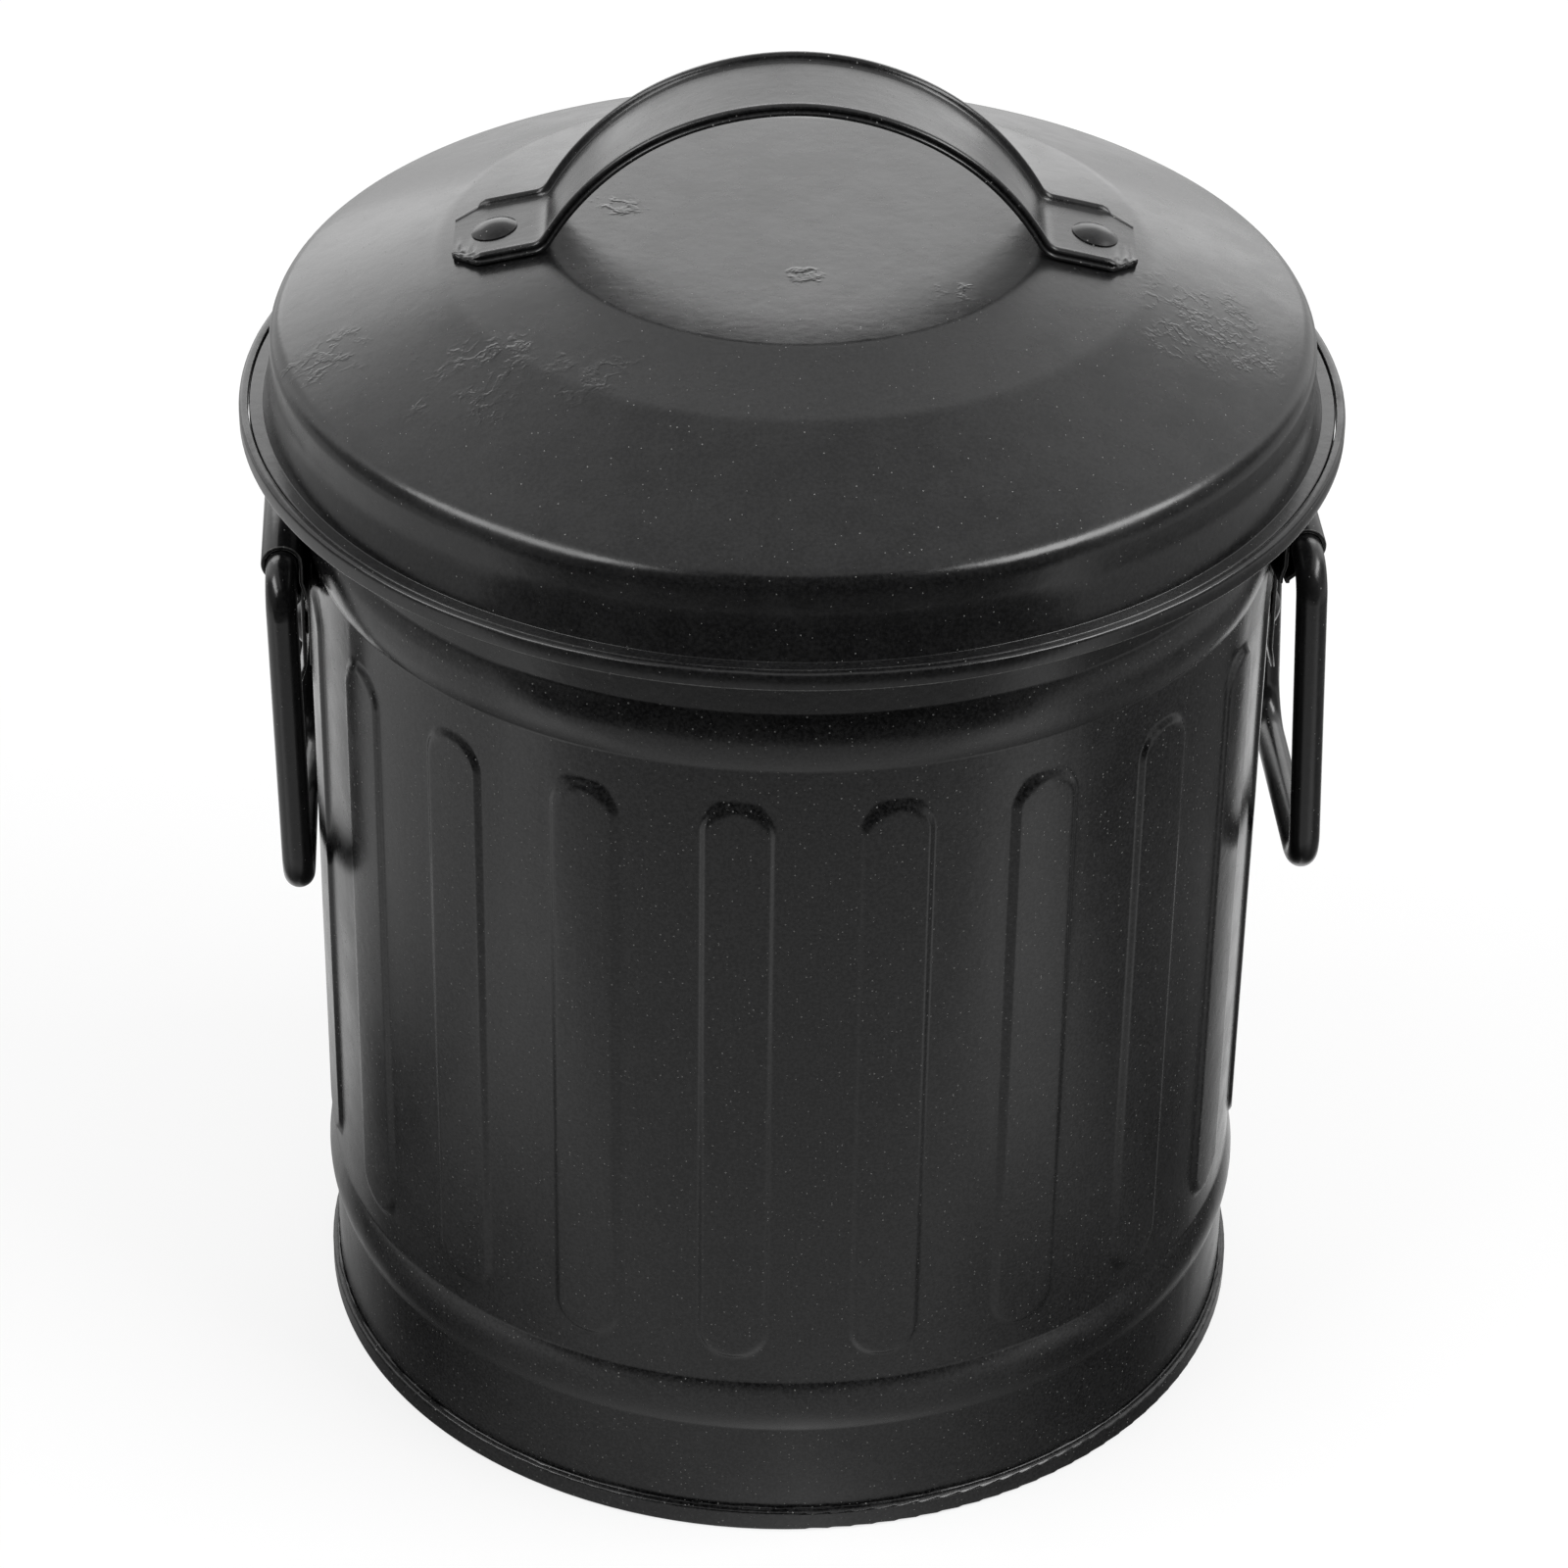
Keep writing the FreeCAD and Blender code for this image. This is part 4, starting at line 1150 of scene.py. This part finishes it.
@dataclass(frozen=True)
class FloorMirror:
    """Brightness of the floor as the paint mirrors it, with lengths in metres.

    White paper lies behind the can, a lit fan in front of it, and open floor at its sides, with a streak between
    fan and open floor. Close to the can's left the paper is in shade.
    """

    paper_edge: float = -0.062
    paper_slant: float = 0.86
    paper_soft: float = 0.02
    paper_reach: Span = (0.19, 0.25)
    paper_beyond: float = 0.15
    paper_far_back: Span = (0.3, 0.6)
    shade_reach: Span = (0.07, 0.1)
    shade_side: Span = (-0.03, 0.03)
    shade_depth: float = 0.55
    fan_turn_deg: float = 6.4
    fan_edge: float = -0.0337
    fan_slant: float = 0.5
    fan_soft: Span = (-0.04, 0.03)
    fan_reach: Span = (0.25, 0.28)
    fan_level: float = 0.62
    fan_fall: float = 0.7
    streak_half: float = 0.08
    streak_start: Span = (0.055, 0.14)
    streak_level: float = 0.92
    open_start: Span = (0.09, 0.16)
    open_end: Span = (0.34, 0.42)
    open_level: float = 0.37
    open_fall: float = 1.4
    open_least: float = 0.1
    far_start: Span = (0.27, 0.34)
    far_level: float = 0.5
    side_soft: Span = (-0.06, -0.02)

    def level(self, tree: ShaderTree) -> Wire:
        """Add the floor.

        Args:
            tree: the floor's nodes.

        Returns:
            Its brightness, one for white.
        """
        across, back, away = tree.axis("X"), tree.axis("Y"), tree.away()
        near = (1 - away.ramp(*self.paper_reach)).at_least(back.ramp(*self.paper_far_back))
        shade = (1 - away.ramp(*self.shade_reach)) * (1 - across.ramp(*self.shade_side)) * self.shade_depth
        paper = back - across.absolute() * self.paper_slant - self.paper_edge
        paper = paper.ramp(-self.paper_soft, self.paper_soft) * (1 - shade)
        paper = paper * (near * (1 - self.paper_beyond) + self.paper_beyond)
        turn = {"Vector": tree.place, "Angle": math.radians(self.fan_turn_deg)}
        turned = tree.node("ShaderNodeVectorRotate", {"rotation_type": "Z_AXIS"}, turn)
        aside = tree.axis("X", turned).absolute()
        fan = tree.axis("Y", turned) + aside * self.fan_slant - self.fan_edge
        front = (1 - fan.ramp(*self.fan_soft)) * (1 - away.ramp(*self.fan_reach))
        front = front * (self.fan_level - away * self.fan_fall)
        streak = (1 - fan.absolute().ramp(0.0, self.streak_half)) * aside.ramp(*self.streak_start)
        open_floor = away.ramp(*self.open_start) * (1 - away.ramp(*self.open_end))
        open_floor = open_floor * (self.open_level - across * self.open_fall).at_least(self.open_least)
        far_floor = away.ramp(*self.far_start) * self.far_level
        sides = open_floor.at_least(streak * self.streak_level).at_least(far_floor) * fan.ramp(*self.side_soft)
        return paper.at_least(sides) + front


@dataclass(frozen=True)
class SkyMirror:
    """Brightness of the room as the paint mirrors it: bright behind the can and above it, dim in front."""

    bright: float = 0.64
    dim: float = 0.04
    up_share: float = 0.8
    aside_share: float = 0.6
    edge: Span = (-0.05, 0.3)
    low_band: float = 0.38
    low_band_top: Span = (0.75, 0.95)
    beside: float = 0.2
    beside_start: Span = (0.5, 0.9)

    def level(self, tree: ShaderTree) -> Wire:
        """Add the room.

        Args:
            tree: the world's nodes.

        Returns:
            Its brightness, one for white.
        """
        up, back = tree.axis("Z"), tree.axis("Y")
        aside = tree.axis("X").absolute()
        lit = (back + up * self.up_share - aside * self.aside_share).ramp(*self.edge)
        band = lit * (1 - up.ramp(*self.low_band_top)) * self.low_band
        beside = aside.ramp(*self.beside_start) * self.beside
        return lit * (self.bright - self.dim) + self.dim + band + beside


@dataclass
class Studio:
    """White table-top set: floor, soft boxes and the camera of the photograph."""

    lens_px: float = 5217.5
    image_px: float = 1600.0
    sensor_mm: float = 36.0
    clip_start_m: float = 0.01
    eye_mm: Triple = (-34.15, -529.8, 418.3)
    aim_mm: Triple = (-0.26, 0.02, 70.73)
    roll_deg: float = 0.90
    room: float = 0.5
    sky_mirror: SkyMirror = SkyMirror()
    floor_size_m: float = 6.0
    floor_shaded_grey: Colour = (0.07, 0.07, 0.07, 1.0)
    floor_white: Colour = (0.96, 0.96, 0.96, 1.0)
    floor_glow: float = 0.72
    floor_fade: Span = (0.2, 0.6)
    floor_mirror: FloorMirror = FloorMirror()
    boxes: tuple[SoftBox, ...] = (
        SoftBox("left_box", (-0.62, -0.22, 0.75), (0.75, 0.25), 6.8),
        SoftBox("right_box", (0.62, -0.22, 0.75), (0.75, 0.25), 9.5),
        SoftBox("back_box", (0.0, 0.85, 0.4), (1.15, 0.5), 1.42),
    )

    def camera(self) -> None:
        """Stand the camera where the photograph was taken."""
        data = bpy.data.cameras.new("photo_camera")
        data.sensor_fit = "HORIZONTAL"
        data.sensor_width = self.sensor_mm
        data.lens = self.lens_px / self.image_px * self.sensor_mm
        data.clip_start = self.clip_start_m
        eye = Vector(self.eye_mm) * MM
        aim = Vector(self.aim_mm) * MM
        camera = bpy.data.objects.new("photo_camera", data)
        bpy.context.scene.collection.objects.link(camera)
        look = (aim - eye).to_track_quat("-Z", "Y")
        camera.rotation_mode = "QUATERNION"
        camera.rotation_quaternion = look @ Quaternion((0, 0, 1), math.radians(self.roll_deg))
        camera.location = eye
        bpy.context.scene.camera = camera

    def floor(self) -> None:
        """Lay a white floor that keeps a soft shadow near the can."""
        bpy.ops.object.select_all(action="DESELECT")
        bpy.ops.mesh.primitive_plane_add(size=self.floor_size_m)
        floor = bpy.context.object
        floor.name = "studio_floor"
        made = bpy.data.materials.new("floor_white")
        tree = ShaderTree(made)
        seen = tree.ray("Is Camera Ray")
        mirrored = tree.ray("Is Glossy Ray") + tree.ray("Is Transmission Ray")
        plain = tree.away().ramp(*self.floor_fade) * (1 - self.floor_glow) + self.floor_glow
        white = seen * plain + mirrored * self.floor_mirror.level(tree)
        # Grey for every ray but the camera's: painted shade, a dimmed copy of the white floor in reflections and
        # bounced light.
        colour = tree.blend(seen, self.floor_shaded_grey, self.floor_white)
        matt = tree.node("ShaderNodeBsdfDiffuse", {}, {"Color": colour})
        glow = tree.node("ShaderNodeEmission", {}, {"Color": WHITE, "Strength": 1.0})
        surface = tree.node("ShaderNodeMixShader", {}, {0: white, 1: matt, 2: glow})
        tree.node("ShaderNodeOutputMaterial", {}, {"Surface": surface})
        floor.data.materials.append(made)

    def world(self) -> None:
        """White surroundings for the eye, the studio for reflections, and a plain level of light for the rest."""
        world = bpy.data.worlds.new("studio")
        bpy.context.scene.world = world
        tree = ShaderTree(world, "Generated")
        seen = tree.ray("Is Camera Ray")
        mirrored = tree.ray("Is Glossy Ray") + tree.ray("Is Transmission Ray")
        unseen = mirrored * (self.sky_mirror.level(tree) - self.room) + self.room
        strength = seen + (1 - seen) * unseen
        sky = tree.node("ShaderNodeBackground", {}, {"Color": WHITE, "Strength": strength})
        tree.node("ShaderNodeOutputWorld", {}, {"Surface": sky})

    def build(self) -> None:
        """Set up the whole studio."""
        bpy.context.scene.view_settings.view_transform = "Standard"
        self.world()
        self.floor()
        for box in self.boxes:
            box.build(Vector(self.aim_mm) * MM)
        self.camera()


def hang(piece: Piece, body: Body, paint: Paint | None = None) -> None:
    """Paint a piece and hang it on its body.

    Args:
        piece: the piece.
        body: the body that it moves with.
        paint: its material, or none for a piece that is painted already.
    """
    if paint:
        piece.data.materials.clear()
        piece.data.materials.append(paint)
    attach(piece, body.value)
    LOG.info("made %s, %d faces, on %s", piece.name, len(piece.data.polygons), body.value)


LID_PATCHES = (
    Patch((-19.8, 5.8, 148.0), 3.2, 0.09, 1.5),
    Patch((0.5, -12.1, 148.0), 2.6, 0.10, 1.6),
    Patch((17.2, -17.3, 148.0), 3.0, 0.08, 1.4),
    Patch((-37.2, -25.9, 143.5), 9.0, 0.05, 1.1),
    Patch((-24.1, -30.1, 145.8), 6.0, 0.05, 1.1),
    Patch((-54.5, -13.4, 138.9), 6.0, 0.05, 1.0),
    Patch((46.3, -15.4, 142.1), 11.0, 0.04, 0.9),
    Patch((12.0, 38.0, 144.0), 9.0, 0.05, 1.1),
)
CAN_PAINT = SatinPaint(
    "satin_black_can", colour=(0.0015, 0.0015, 0.0017, 1), thin_colour=(0.015, 0.015, 0.0153, 1),
    speckle=2.8, speckle_grain=0.38, dust_size=0.25, dust_cell=0.5,
)
LID_PAINT = SatinPaint("satin_black_lid", patches=LID_PATCHES, dust_size=0.155)
FITTINGS_PAINT = SatinPaint("satin_black_fittings", sheet_wave_grain=9.0, sheet_wave=0.035)
STRAP_PAINT = SatinPaint("satin_black_strap", sheet_wave_grain=9.0, brush=0.012, specular=0.4)
# Lighter paint for rounds and hem edges: partly thin, worn paint, partly a painted highlight.
EDGE_WEAR_AND_HIGHLIGHT_PAINT = SatinPaint("thin_paint_and_painted_highlight_on_edges", colour=(0.03, 0.03, 0.03, 1), thin_colour=(0.14, 0.14, 0.137, 1))


def main() -> None:
    """Dress the part."""
    logging.basicConfig(level=logging.INFO)
    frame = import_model()
    nodes = frame["nodes"]
    paints = {
        Slot.CAN: CAN_PAINT.material(),
        Slot.LID: LID_PAINT.material(),
        Slot.FITTINGS: FITTINGS_PAINT.material(),
    }
    # Lighter edge paint, partly a painted highlight on rounds and hem edges.
    edge = EDGE_WEAR_AND_HIGHLIGHT_PAINT.material()
    for row in frame["record"]["subparts"]:
        node = nodes[row["node"]]
        node.data.materials.clear()
        node.data.materials.append(paints[Slot(row["material_slot"])])
        LOG.info("painted %s", row["node"])
    CanWall().dress(paints[Slot.CAN])
    BaseRing().dress(paints[Slot.CAN])
    Lid().dress(paints[Slot.LID], edge)
    Strap().dress(STRAP_PAINT.material())
    Brackets().dress(nodes, edge)
    Studio().build()


if __name__ == "__main__":
    main()
